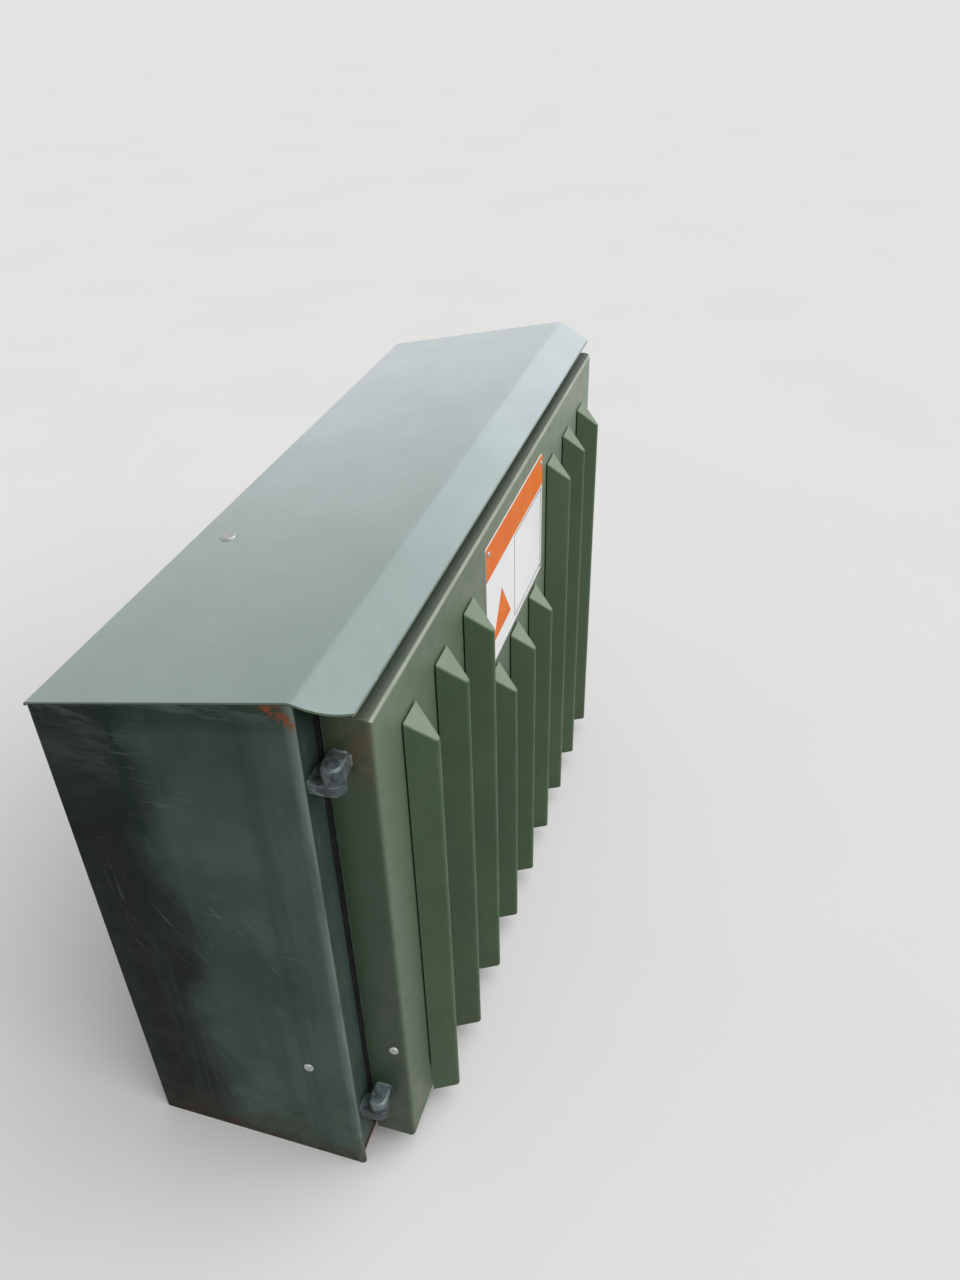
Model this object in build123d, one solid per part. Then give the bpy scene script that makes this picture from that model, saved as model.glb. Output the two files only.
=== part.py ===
from build123d import *
import os
from math import asin, atan2, cos, hypot, pi, tan

# Roadside utility cabinet, in millimetres. +Z is up, the door faces -Y and the
# origin is at ground level in the middle of the footprint. The left end is the
# hinged end, as seen from the front. A "depth" is measured forward from the back.

# Body outline
BODY_LENGTH = 1116.0
BODY_DEPTH = 318.0        # back to the plane of the front return flanges
CREST_HEIGHT = 828.0      # corner of the crest, before it is rounded
CREST_SETBACK = 2.0       # crest behind the plane of the return flanges
BACK_DROP = 66.0          # crest down to the roof's back edge
BAND_DROP = 28.0          # crest down to the front edge of the sloping band
ROOF_OVERHANG = 49.0      # return flanges to the front edge of the band

# Body sheet metal
BODY_GAUGE = 2.5
BODY_BEND = 4.5           # outside radius of a fold
CREST_BEND = 12.0
ROOF_SEAM = 0.8           # joint line between the roof and what it lies on
ROOF_BACK_LIP = 26.0
ROOF_LIP_END = 8.0        # the back lip stops short of both ends of the roof
ROOF_FRONT_LIP = 3.5
ROOF_CORNER_RUN = 50.0    # rounded front corners of the roof band, front to back
ROOF_CORNER_INSET = 34.0  # cut well back at the hinged end, clear of the door as it swings
ROOF_CORNER_BULGE = 6.0
ROOF_FAR_INSET = 4.0      # and hardly at the lock end
ROOF_FAR_BULGE = 1.5
RETURN_FLANGE = 60.0      # end panel, folded in across the front
RETURN_LIP = 16.0
BACK_FLANGE = 22.0
HEADER_LAP = 39.0         # header's face, below the top of the door
HEADER_LEG = 26.0
SILL_LAP = 45.0           # sill's face, above the foot of the door
SILL_LEG = 20.0

# Base frame of equal angle
RAIL_LEG = 40.0
RAIL_GAUGE = 4.0
RAIL_SETBACK = 8.0        # front rail behind the return flanges
ANCHOR_RADIUS = 7.0
ANCHOR_EDGE = 24.0        # hole centre to the rail's outer face
ANCHOR_SPACING = 180.0    # along the end rails

# Door tray
DOOR_GAUGE = 2.0
DOOR_GAP = 7.0            # return flanges to the back edge of the door's sides
DOOR_TRAY = 55.0          # depth of the door's folded sides
DOOR_INSET = 38.0         # end of the body to the side of the door
DOOR_BASE = 37.0
DOOR_TOP_GAP = 7.5        # door to the roof's drip lip
DOOR_TOP_BEND = 9.0
DOOR_SIDE_BEND = 7.0
DOOR_BASE_BEND = 5.0

# Vent hoods
HOOD_COUNT = 9
HOOD_LEFT_MARGIN = 72.0   # left side of the door to the first hood
HOOD_WIDTH = 45.0
HOOD_DEPTH = 35.0
HOOD_GAUGE = 2.0
HOOD_RIDGE_RADIUS = 6.0
HOOD_EDGE_RADIUS = 4.0
HOOD_TOP_MARGIN = 60.0    # below the top of the door
HOOD_TOP_DROP = 34.0      # the sloping top, from the door face out to the ridge
HOOD_AIR_GAP = 2.2
HOOD_WELD = 4.0           # strip of the far edge that is joined to the door
HOOD_TOP_OPENING = 12.0   # height below the top where the air gap runs right across

# Air slots behind the hoods, and the screen inside the door
SLOT_WIDTH = 24.0
SLOT_HEIGHT = 84.0
SLOT_BRIDGE = 22.0
SLOT_BASE = 88.0
SLOT_TOP_MARGIN = 40.0
SCREEN_GAUGE = 1.0
SCREEN_SIDE_MARGIN = 8.0  # beyond the outermost hoods
SCREEN_LAP = 22.0         # over the back of each stiffener
SCREEN_HOLE = 15.0
SCREEN_PITCH = 22.0
STIFFENER_HEIGHT = 30.0
STIFFENER_LEG = 16.0
STIFFENER_BEND = 3.5
STIFFENER_END_GAP = 14.0
STIFFENER_SLOT_GAP = 4.0

# Door seal
SEAL_WIDTH = 14.0
SEAL_OVERHANG = 1.0       # beyond the door's sides and top
SEAL_CLEARANCE = 0.3

# Lift-off hinges
HINGE_INSET = 18.0        # pin to the end of the body
HINGE_STANDOFF = 24.0     # pin to the plane of the return flanges
HINGE_LOW = 115.0         # foot of the lower lug
HINGE_DROP = 81.0         # top of the door to the foot of the upper lug
LUG_CLEARANCE = 7.0       # lug to the side of the door
LUG_THICKNESS = 13.0
KNUCKLE_RADIUS = 12.0
KNUCKLE_HEIGHT = 21.0
KNUCKLE_EDGE = 2.5
PIN_RADIUS = 5.5
PIN_TOP_GAP = 5.0         # metal left above the pin in the knuckle
PIN_END_ROUND = 1.5
HINGE_FIT = 0.05          # radial running clearance
FACE_CLEARANCE = 0.3

# Quarter-turn lock
LOCK_SETBACK = 13.0       # lock to the lip of the return flange
LOCK_FLANGE_RADIUS = 16.0
LOCK_FLANGE = 3.5
LOCK_HOOD_GAP = 12.0      # lock flange to the last hood
LOCK_SLEEVE_RADIUS = 12.0
LOCK_SLEEVE_LENGTH = 30.0
LOCK_BARREL_RADIUS = 8.5
LOCK_BARREL_RECESS = 1.0
LOCK_KEY_RADIUS = 5.0
LOCK_KEY_DEPTH = 9.0
LOCK_ROD_RADIUS = 5.0
CAM_LENGTH = 40.0
CAM_WIDTH = 18.0
CAM_THICKNESS = 4.0
CAM_CLEARANCE = 0.8       # cam to the back edge of the return flange's lip
CAM_SCREW_RADIUS = 7.5
CAM_SCREW_HEAD = 4.0
LOCK_FIT = 0.05

# Placard
PLACARD_WIDTH = 300.0
PLACARD_HEIGHT = 200.0
PLACARD_GAUGE = 1.5
PLACARD_CORNER = 4.0
PLACARD_SHIFT = 17.0      # right of the middle of the door
PLACARD_TOP_MARGIN = 29.0
PLACARD_HOOD_GAP = 9.0
PLACARD_BAND = 50.0
PLACARD_FIELD_WIDTH = 90.0    # small three-sided field at the lower left
PLACARD_FIELD_HEIGHT = 66.0
PLACARD_FIELD_LEFT = 27.0     # edges of the plate to the field
PLACARD_FIELD_FOOT = 35.0
PLACARD_FILM = 0.3
RIVET_RADIUS = 4.0
RIVET_HEAD = 1.6
RIVET_SHANK = 2.0         # radius
RIVET_INSET = 11.0

# Small domed fasteners
SCREW_RADIUS = 7.0
SCREW_HEAD = 3.0
SCREW_SHANK = 3.0         # radius
SCREW_LENGTH = 7.5        # below the head
END_SCREW_SETBACK = 60.0  # behind the return flanges
END_SCREW_HEIGHT = 209.0
DOOR_SCREW_HEIGHT = 235.0
DOOR_SCREW_BACK = 17.0    # screw to the face of the door
PLUG_RADIUS = 11.0
PLUG_HEAD = 2.5
PLUG_SHANK = 3.0          # radius
PLUG_LENGTH = 5.0         # below the head
PLUG_OFFSET = 353.0       # left end to the plug that closes the lifting hole
PLUG_DEPTH = 56.0
FASTENER_FIT = 0.05
DOME_ROUNDING = 0.9       # rounding of a head, as a share of its height

# Board that carries the equipment
BOARD_GAUGE = 3.0
BOARD_STANDOFF = 25.5
BOARD_SIDE_GAP = 55.0
BOARD_BASE = 100.0
BOARD_TOP_GAP = 47.0      # below the roof's back edge
STANDOFF_RADIUS = 9.0
STANDOFF_INSET = 40.0

# Busbars
BUSBAR_HEIGHT = 25.0
BUSBAR_GAUGE = 5.0
BUSBAR_SPACING = 60.0
BUSBAR_MIDDLE_HEIGHT = 450.0
BUSBAR_STANDOFF = 30.0    # board to the back of the bars
BUSBAR_OVERHANG = 8.0     # beyond the first support
SUPPORT_WIDTH = 24.0
SUPPORT_MARGIN = 15.0
SUPPORT_GAP = 8.0         # support to the fuse switch beside it
SUPPORT_NOTCH_FIT = 0.2
LOW_BAR_LENGTH = 520.0
NEUTRAL_HEIGHT = 255.0
EARTH_HEIGHT = 175.0
POST_RADIUS = 11.0
POST_INSET = 35.0
TERMINAL_RADIUS = 3.0
TERMINAL_PITCH = 22.0
TERMINAL_MARGIN = 70.0    # end of a low bar to its first terminal hole

# Fuse switches that hang on the busbars
FUSE_COUNT = 3
FUSE_FIRST = 190.0        # left end of the body to the first unit's middle
FUSE_WIDTH = 110.0
FUSE_HEIGHT = 210.0
FUSE_BLOCK = 48.0
CHEEK_GAUGE = 6.0
CHEEK_REACH = 34.0
LID_RADIUS = 16.0         # rounded lower end of the lid, about its pivot
LID_WALL = 3.5
LID_TOP_GAP = 10.0
LID_SIDE_GAP = 1.0
LID_BACK_GAP = 1.0
LID_PIVOT_HEIGHT = 24.0   # above the foot of the unit
LID_FIT = 0.05
TRUNNION_RADIUS = 4.0
TRUNNION_END_GAP = 1.0
LID_GRIP_WIDTH = 60.0
LID_GRIP_HEIGHT = 16.0
LID_GRIP_REACH = 26.0
LID_GRIP_SLOT = 12.0
LID_GRIP_DROP = 48.0      # top of the lid to the foot of its grip
LINK_SPACE = 8.5          # between fuse links
LINK_HEIGHT = 70.0
LINK_DEPTH = 52.0
LINK_LIFT = 44.0          # pivot to the foot of the fuse links
LINK_CHAMBER_GAP = 2.5
LINK_CHAMBER_RISE = 22.0
PHASES = (-1, 0, 1)       # one busbar and one fuse link each, about the middle one

# Main switch
SWITCH_SPACE = 28.0       # last busbar support to the main switch
SWITCH_WIDTH = 170.0
SWITCH_HEIGHT = 220.0
SWITCH_DEPTH = 95.0
SWITCH_GAP = 0.3          # end of the busbars to the switch
SWITCH_EDGE = 4.0
SWITCH_BOSS_RADIUS = 34.0
SWITCH_BOSS = 10.0
KNOB_RADIUS = 26.0
KNOB_THICKNESS = 12.0
LEVER_LENGTH = 96.0
LEVER_WIDTH = 18.0
LEVER_THICKNESS = 20.0
LEVER_ROUND = 6.0
SWITCH_SHAFT_RADIUS = 7.0
SWITCH_SHAFT = 22.0
SWITCH_FIT = 0.05

# Cable rail across the foot of the board
CABLE_RAIL_HEIGHT = 40.0
CABLE_RAIL_DEPTH = 22.0
CABLE_RAIL_GAUGE = 2.0
CABLE_RAIL_BEND = 3.0
CABLE_RAIL_BASE = 92.0
CABLE_RAIL_BACK = 120.0   # depth of its back face
CABLE_SLOT = 30.0
CABLE_SLOT_HEIGHT = 12.0
CABLE_SLOT_PITCH = 60.0
CLEAT_GAUGE = 3.0
CLEAT_LENGTH = 34.0

PAST = 1.0                # how far a cut runs past the face that it opens

# Values worked out from the ones above
LEFT = -BODY_LENGTH / 2
RIGHT = BODY_LENGTH / 2
BACK_HEIGHT = CREST_HEIGHT - BACK_DROP
CREST_DEPTH = BODY_DEPTH - CREST_SETBACK
ROOF_DEPTH = BODY_DEPTH + ROOF_OVERHANG
ROOF_FRONT_HEIGHT = CREST_HEIGHT - BAND_DROP
DOOR_BACK_DEPTH = BODY_DEPTH + DOOR_GAP
DOOR_FACE_DEPTH = DOOR_BACK_DEPTH + DOOR_TRAY
DOOR_TOP = ROOF_FRONT_HEIGHT - ROOF_FRONT_LIP - DOOR_TOP_GAP
DOOR_LEFT = LEFT + DOOR_INSET
DOOR_RIGHT = RIGHT - DOOR_INSET
TOTAL_DEPTH = DOOR_FACE_DEPTH + HOOD_DEPTH
HINGE_X = LEFT + HINGE_INSET
HINGE_DEPTH = BODY_DEPTH + HINGE_STANDOFF
LUG_RADIUS = DOOR_LEFT - HINGE_X - LUG_CLEARANCE
LOCK_X = RIGHT - RETURN_FLANGE - LOCK_SETBACK
LOCK_HEIGHT = (DOOR_BASE + DOOR_TOP) / 2
CAM_DEPTH = BODY_DEPTH - RETURN_LIP - CAM_CLEARANCE
PLACARD_LEFT = PLACARD_SHIFT - PLACARD_WIDTH / 2
PLACARD_BASE = DOOR_TOP - PLACARD_TOP_MARGIN - PLACARD_HEIGHT
HOODS_LEFT = DOOR_LEFT + HOOD_LEFT_MARGIN
HOODS_RIGHT = LOCK_X - LOCK_FLANGE_RADIUS - LOCK_HOOD_GAP
HOOD_PITCH = (HOODS_RIGHT - HOODS_LEFT - HOOD_WIDTH) / (HOOD_COUNT - 1)
HOOD_TOP = DOOR_TOP - HOOD_TOP_MARGIN
HOOD_LOW_TOP = PLACARD_BASE - PLACARD_HOOD_GAP
WALL_START = BODY_GAUGE                         # the roof's back lip lies outside the end walls
BACK_PANEL_DEPTH = WALL_START + BODY_GAUGE      # the back panel lies inside their back flanges
INNER_BACK = BACK_PANEL_DEPTH + BODY_GAUGE
BOARD_DEPTH = INNER_BACK + BOARD_STANDOFF
BOARD_FRONT = BOARD_DEPTH + BOARD_GAUGE
BOARD_TOP = BACK_HEIGHT - BOARD_TOP_GAP
BUSBAR_DEPTH = BOARD_FRONT + BUSBAR_STANDOFF
FUSE_PITCH = FUSE_WIDTH + SUPPORT_WIDTH + 2 * SUPPORT_GAP
FIRST_SUPPORT = LEFT + FUSE_FIRST - FUSE_PITCH / 2
BUSBAR_LEFT = FIRST_SUPPORT - SUPPORT_WIDTH / 2 - BUSBAR_OVERHANG
SWITCH_LEFT = FIRST_SUPPORT + FUSE_COUNT * FUSE_PITCH + SUPPORT_WIDTH / 2 + SWITCH_SPACE
FUSE_DEPTH = BUSBAR_DEPTH + BUSBAR_GAUGE        # the units lie against the bars
FUSE_FRONT = FUSE_DEPTH + FUSE_BLOCK
FUSE_BASE = BUSBAR_MIDDLE_HEIGHT - FUSE_HEIGHT / 2
LID_PIVOT_DEPTH = FUSE_FRONT + LID_BACK_GAP + LID_RADIUS
LID_PIVOT_Z = FUSE_BASE + LID_PIVOT_HEIGHT
LID_HALF = FUSE_WIDTH / 2 - CHEEK_GAUGE - LID_SIDE_GAP
LINK_PITCH = 2 * (LID_HALF - LID_WALL) / len(PHASES)
LINK_WIDTH = LINK_PITCH - LINK_SPACE
LINK_SEAT_DEPTH = LID_PIVOT_DEPTH + LID_RADIUS - LID_WALL


def y_at(depth):
    """Y of a plane that lies so far in front of the back."""
    return TOTAL_DEPTH / 2 - depth


def block(x0, x1, near, far, z0, z1):
    """A box from x0 to x1 and z0 to z1, between two depths."""
    centre = ((x0 + x1) / 2, y_at((near + far) / 2), (z0 + z1) / 2)
    return Pos(*centre) * Box(abs(x1 - x0), abs(far - near), abs(z1 - z0))


def rod_z(x, depth, z0, z1, radius):
    """An upright round bar."""
    return Pos(x, y_at(depth), (z0 + z1) / 2) * Cylinder(radius, z1 - z0)


def rod_y(x, z, near, far, radius):
    """A round bar that runs from one depth forward to another."""
    return Pos(x, y_at((near + far) / 2), z) * Rot(90, 0, 0) * Cylinder(radius, far - near)


def rod_x(x0, x1, depth, z, radius):
    """A round bar along X."""
    return Pos((x0 + x1) / 2, y_at(depth), z) * Rot(0, 90, 0) * Cylinder(radius, x1 - x0)


def folded_face(points, gauge, bends, side):
    """The section of a folded sheet; points run along one of its faces."""
    path = FilletPolyline(*points, radius=bends)
    return make_face(offset(path, amount=gauge, side=side, closed=True).edges())


def along_x(points, gauge, bends, side, x0, x1):
    """A sheet folded about X; points are (depth, height) pairs."""
    section = folded_face([(y_at(depth), z) for depth, z in points], gauge, bends, side)
    return extrude(Plane.YZ.offset(x0) * section, amount=x1 - x0)


def slab_x(points, x0, x1):
    """A solid between x0 and x1 whose outline is (depth, height) pairs."""
    outline = make_face(Polyline(*[(y_at(depth), z) for depth, z in points], close=True))
    return extrude(Plane.YZ.offset(x0) * outline, amount=x1 - x0)


def mirrored(shape):
    """The same piece at the other end of the cabinet."""
    return mirror(shape, about=Plane.YZ)


def roof_top(depth):
    """Height of the roof's outer face, without the rounding of its folds."""
    if depth <= CREST_DEPTH:
        return BACK_HEIGHT + (CREST_HEIGHT - BACK_HEIGHT) * depth / CREST_DEPTH
    fall = (CREST_HEIGHT - ROOF_FRONT_HEIGHT) / (ROOF_DEPTH - CREST_DEPTH)
    return CREST_HEIGHT - fall * (depth - CREST_DEPTH)


def roof_seat(depth):
    """Height at which a piece meets the underside of the roof."""
    run, drop = CREST_DEPTH, CREST_HEIGHT - BACK_HEIGHT
    if depth > CREST_DEPTH:
        run, drop = ROOF_DEPTH - CREST_DEPTH, CREST_HEIGHT - ROOF_FRONT_HEIGHT
    return roof_top(depth) - BODY_GAUGE * hypot(run, drop) / run - ROOF_SEAM


def below_roof(x0, x1):
    """The space under the roof, in front of its back lip and clear of that lip's bend."""
    far = BODY_DEPTH + BODY_GAUGE
    ground = -PAST
    outline = [(0, ground), (far, ground)]
    outline += [(depth, roof_seat(depth)) for depth in (far, CREST_DEPTH, BODY_BEND)]
    outline += [(WALL_START, roof_seat(WALL_START) - BODY_BEND + BODY_GAUGE), (0, roof_seat(0) - BODY_BEND)]
    return slab_x(outline, x0, x1)


def domed_head(radius, height):
    """A low domed fastener head that stands on the XY plane."""
    head = Pos(0, 0, height / 2) * Cylinder(radius, height)
    return fillet(head.edges().sort_by(Axis.Z)[-1], DOME_ROUNDING * height)


# Base frame

def base_rail_long(depth, inward):
    """A front or back angle; inward is the way its foot points."""
    x0, x1 = LEFT + BODY_BEND, RIGHT - BODY_BEND
    upright = block(x0, x1, depth, depth + inward * RAIL_GAUGE, 0, RAIL_LEG)
    foot = block(x0, x1, depth, depth + inward * RAIL_LEG, 0, RAIL_GAUGE)
    return upright + foot


def base_rail_end():
    """The left angle, between the feet of the long rails, with its anchor holes."""
    near = INNER_BACK + RAIL_LEG
    far = BODY_DEPTH - RAIL_SETBACK - RAIL_LEG
    x0 = LEFT + BODY_GAUGE
    rail = block(x0, x0 + RAIL_GAUGE, near, far, 0, RAIL_LEG)
    rail += block(x0, x0 + RAIL_LEG, near, far, 0, RAIL_GAUGE)
    middle = (near + far) / 2
    for shift in (-ANCHOR_SPACING / 2, ANCHOR_SPACING / 2):
        rail -= rod_z(x0 + ANCHOR_EDGE, middle + shift, -PAST, RAIL_GAUGE + PAST, ANCHOR_RADIUS)
    return rail


# Body panels

def back_panel():
    """The flat back, between the end walls and inside their back flanges."""
    side = LEFT + BODY_BEND
    return block(side, -side, BACK_PANEL_DEPTH, INNER_BACK, 0, roof_seat(BACK_PANEL_DEPTH))


def end_panel():
    """The left end wall, folded round a back flange and a front return flange."""
    plan = [
        (LEFT + BACK_FLANGE, y_at(WALL_START)),
        (LEFT, y_at(WALL_START)),
        (LEFT, y_at(BODY_DEPTH)),
        (LEFT + RETURN_FLANGE, y_at(BODY_DEPTH)),
        (LEFT + RETURN_FLANGE, y_at(BODY_DEPTH - RETURN_LIP)),
    ]
    section = folded_face(plan, BODY_GAUGE, BODY_BEND, Side.LEFT)
    wall = extrude(section, amount=CREST_HEIGHT) & below_roof(LEFT, RIGHT)
    behind = BODY_DEPTH - RETURN_LIP - BODY_BEND
    wall -= block(LEFT + BODY_BEND, LEFT + RETURN_FLANGE + PAST, behind, BODY_DEPTH + PAST, -PAST, RAIL_LEG)
    wall -= rod_x(LEFT - PAST, LEFT + BODY_GAUGE + PAST, BODY_DEPTH - END_SCREW_SETBACK, END_SCREW_HEIGHT,
                  SCREW_SHANK + FASTENER_FIT)
    return wall


def roof_corner_cut(inset, bulge):
    """What is cut from the roof band's front corner at the left end, along a bulging curve."""
    start = (LEFT, y_at(ROOF_DEPTH - ROOF_CORNER_RUN))
    end = (LEFT + inset, y_at(ROOF_DEPTH))
    beyond = (LEFT + inset, y_at(ROOF_DEPTH + ROOF_CORNER_RUN))
    outside = (LEFT - ROOF_CORNER_RUN, y_at(ROOF_DEPTH + ROOF_CORNER_RUN))
    start_outside = (LEFT - ROOF_CORNER_RUN, y_at(ROOF_DEPTH - ROOF_CORNER_RUN))
    curve = SagittaArc(start, end, -bulge)
    rim = Polyline(end, beyond, outside, start_outside, start)
    return extrude(make_face(curve.edges() + rim.edges()), amount=2 * CREST_HEIGHT)


def roof_panel():
    """The roof sheet: back lip, main slope, crest, front band and drip lip."""
    side = [
        (0, BACK_HEIGHT - ROOF_BACK_LIP),
        (0, BACK_HEIGHT),
        (CREST_DEPTH, CREST_HEIGHT),
        (ROOF_DEPTH, ROOF_FRONT_HEIGHT),
        (ROOF_DEPTH, ROOF_FRONT_HEIGHT - ROOF_FRONT_LIP),
    ]
    roof = along_x(side, BODY_GAUGE, (BODY_BEND, CREST_BEND, BODY_BEND), Side.LEFT, LEFT, RIGHT)
    roof -= roof_corner_cut(ROOF_CORNER_INSET, ROOF_CORNER_BULGE)
    roof -= mirrored(roof_corner_cut(ROOF_FAR_INSET, ROOF_FAR_BULGE))
    lip_end = block(LEFT - PAST, LEFT + ROOF_LIP_END, -PAST, BODY_GAUGE + PAST,
                    BACK_HEIGHT - ROOF_BACK_LIP - PAST, BACK_HEIGHT - BODY_BEND)
    roof -= lip_end
    roof -= mirrored(lip_end)
    return roof - plug_place() * Cylinder(PLUG_SHANK + FASTENER_FIT, 2 * (BODY_GAUGE + PAST))


def plug_place():
    """The lifting hole's place on the main roof slope, with +Z square to the sheet."""
    slope = atan2(BACK_DROP, CREST_DEPTH) * 180 / pi
    return Pos(LEFT + PLUG_OFFSET, y_at(PLUG_DEPTH), roof_top(PLUG_DEPTH)) * Rot(-slope, 0, 0)


def roof_plug():
    """The domed plug in the roof's lifting hole."""
    shank = Pos(0, 0, -PLUG_LENGTH / 2) * Cylinder(PLUG_SHANK, PLUG_LENGTH)
    return plug_place() * (domed_head(PLUG_RADIUS, PLUG_HEAD) + shank)


def door_header():
    """The folded rail across the top of the door opening, under the roof's crest."""
    back = BODY_DEPTH - HEADER_LEG
    side = [
        (back, DOOR_TOP - HEADER_LAP),
        (BODY_DEPTH, DOOR_TOP - HEADER_LAP),
        (BODY_DEPTH, roof_seat(BODY_DEPTH)),
        (back, roof_seat(back)),
    ]
    return along_x(side, BODY_GAUGE, BODY_BEND, Side.RIGHT, LEFT + RETURN_FLANGE, RIGHT - RETURN_FLANGE)


def door_sill():
    """The folded rail across the foot of the door opening, on the front base rail."""
    side = [
        (BODY_DEPTH - SILL_LEG, RAIL_LEG),
        (BODY_DEPTH, RAIL_LEG),
        (BODY_DEPTH, DOOR_BASE + SILL_LAP),
        (BODY_DEPTH - SILL_LEG, DOOR_BASE + SILL_LAP),
    ]
    return along_x(side, BODY_GAUGE, BODY_BEND, Side.RIGHT, LEFT + RETURN_FLANGE, RIGHT - RETURN_FLANGE)


def door_seal():
    """The rubber seal on the body's front flanges, under the door's top and sides."""
    near, far = BODY_DEPTH, DOOR_BACK_DEPTH - SEAL_CLEARANCE
    x0, x1 = DOOR_LEFT - SEAL_OVERHANG, DOOR_RIGHT + SEAL_OVERHANG
    z0, z1 = RAIL_LEG + BODY_BEND, DOOR_TOP + SEAL_OVERHANG
    strip = block(x0, x1, near, far, z0, z1)
    inside = block(x0 + SEAL_WIDTH, x1 - SEAL_WIDTH, near - PAST, far + PAST, z0 - PAST, z1 - SEAL_WIDTH)
    return strip - inside


# Hinges

def hinge_lug(base):
    """A body lug: a plate with a round nose about the pin, welded to the flange."""
    top = base + LUG_THICKNESS
    plate = rod_z(HINGE_X, HINGE_DEPTH, base, top, LUG_RADIUS)
    plate += block(HINGE_X - LUG_RADIUS, HINGE_X + LUG_RADIUS, BODY_DEPTH, HINGE_DEPTH, base, top)
    return plate - rod_z(HINGE_X, HINGE_DEPTH, base - PAST, top + PAST, PIN_RADIUS + HINGE_FIT)


def hinge_pin(base):
    """The upright pin that stands in a lug."""
    top = base + LUG_THICKNESS + FACE_CLEARANCE + KNUCKLE_HEIGHT - PIN_TOP_GAP
    pin = rod_z(HINGE_X, HINGE_DEPTH, base, top, PIN_RADIUS)
    return chamfer(pin.edges().sort_by(Axis.Z)[-1], PIN_END_ROUND)


def hinge_knuckle(base):
    """A door knuckle: a round barrel over the pin with a tail to the door's side."""
    z0 = base + LUG_THICKNESS + FACE_CLEARANCE
    z1 = z0 + KNUCKLE_HEIGHT
    barrel = rod_z(HINGE_X, HINGE_DEPTH, z0, z1, KNUCKLE_RADIUS)
    barrel += block(
        HINGE_X, DOOR_LEFT, HINGE_DEPTH - KNUCKLE_RADIUS, HINGE_DEPTH + KNUCKLE_RADIUS, z0, z1
    )
    barrel = chamfer(barrel.faces().sort_by(Axis.Z)[-1].edges().filter_by(Axis.Y, reverse=True), KNUCKLE_EDGE)
    bore_top = z1 - PIN_TOP_GAP + FACE_CLEARANCE
    return barrel - rod_z(HINGE_X, HINGE_DEPTH, z0 - PAST, bore_top, PIN_RADIUS + HINGE_FIT)


# Door

def tray(grow):
    """The door's outer form, shrunk on every side by grow; its back is left open."""
    deep = DOOR_BACK_DEPTH - grow
    face = DOOR_FACE_DEPTH - grow
    top, foot = DOOR_TOP - grow, DOOR_BASE + grow
    x0, x1 = DOOR_LEFT + grow, DOOR_RIGHT - grow
    profile = make_face(Polyline(
        (y_at(deep), foot), (y_at(face), foot), (y_at(face), top), (y_at(deep), top), close=True
    ))
    corners = profile.vertices().group_by(Axis.X)[0].sort_by(Axis.Y)
    profile = fillet(corners[0], DOOR_BASE_BEND - grow)
    corner = profile.vertices().group_by(Axis.X)[0].sort_by(Axis.Y)[-1]
    profile = fillet(corner, DOOR_TOP_BEND - grow)
    upright = extrude(Plane.YZ.offset(x0) * profile, amount=x1 - x0)
    plan = make_face(Polyline(
        (x0, y_at(deep)), (x0, y_at(face)), (x1, y_at(face)), (x1, y_at(deep)), close=True
    ))
    plan = fillet(plan.vertices().group_by(Axis.Y)[0], DOOR_SIDE_BEND - grow)
    return upright & extrude(plan, amount=DOOR_TOP + DOOR_BASE)


def hood_left(index):
    """X of a hood's left edge; hoods count from 1."""
    return HOODS_LEFT + HOOD_PITCH * (index - 1)


def hood_top(index):
    """Height at which a hood's sloping top meets the door; some stop below the placard."""
    left_of_it = hood_left(index) + HOOD_WIDTH + PLACARD_HOOD_GAP <= PLACARD_LEFT
    right_of_it = hood_left(index) - PLACARD_HOOD_GAP >= PLACARD_LEFT + PLACARD_WIDTH
    return HOOD_TOP if left_of_it or right_of_it else HOOD_LOW_TOP


def slot_heights(index):
    """Lower and upper end of each air slot behind a hood."""
    room = hood_top(index) - SLOT_TOP_MARGIN - SLOT_BASE + SLOT_BRIDGE
    count = max(1, int(room // (SLOT_HEIGHT + SLOT_BRIDGE)))
    height = room / count - SLOT_BRIDGE
    feet = [SLOT_BASE + row * (height + SLOT_BRIDGE) for row in range(count)]
    return [(foot, foot + height) for foot in feet]


def door_skin():
    """The folded door sheet: face, rounded top bend, sides and foot, with air slots."""
    skin = tray(0) - tray(DOOR_GAUGE)
    slots = []
    for index in range(1, HOOD_COUNT + 1):
        middle = hood_left(index) + HOOD_WIDTH / 2
        for z0, z1 in slot_heights(index):
            slots.append(block(
                middle - SLOT_WIDTH / 2, middle + SLOT_WIDTH / 2,
                DOOR_FACE_DEPTH - DOOR_GAUGE - PAST, DOOR_FACE_DEPTH + PAST, z0, z1,
            ))
    skin -= Compound(slots)
    skin -= rod_y(LOCK_X, LOCK_HEIGHT, DOOR_BACK_DEPTH, TOTAL_DEPTH, LOCK_SLEEVE_RADIUS + LOCK_FIT)
    for x, z in rivet_places():
        skin -= rod_y(x, z, DOOR_BACK_DEPTH, TOTAL_DEPTH, RIVET_SHANK + FASTENER_FIT)
    skin -= rod_x(LEFT, DOOR_LEFT + DOOR_GAUGE + PAST, DOOR_FACE_DEPTH - DOOR_SCREW_BACK, DOOR_SCREW_HEIGHT,
                  SCREW_SHANK + FASTENER_FIT)
    return skin


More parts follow.
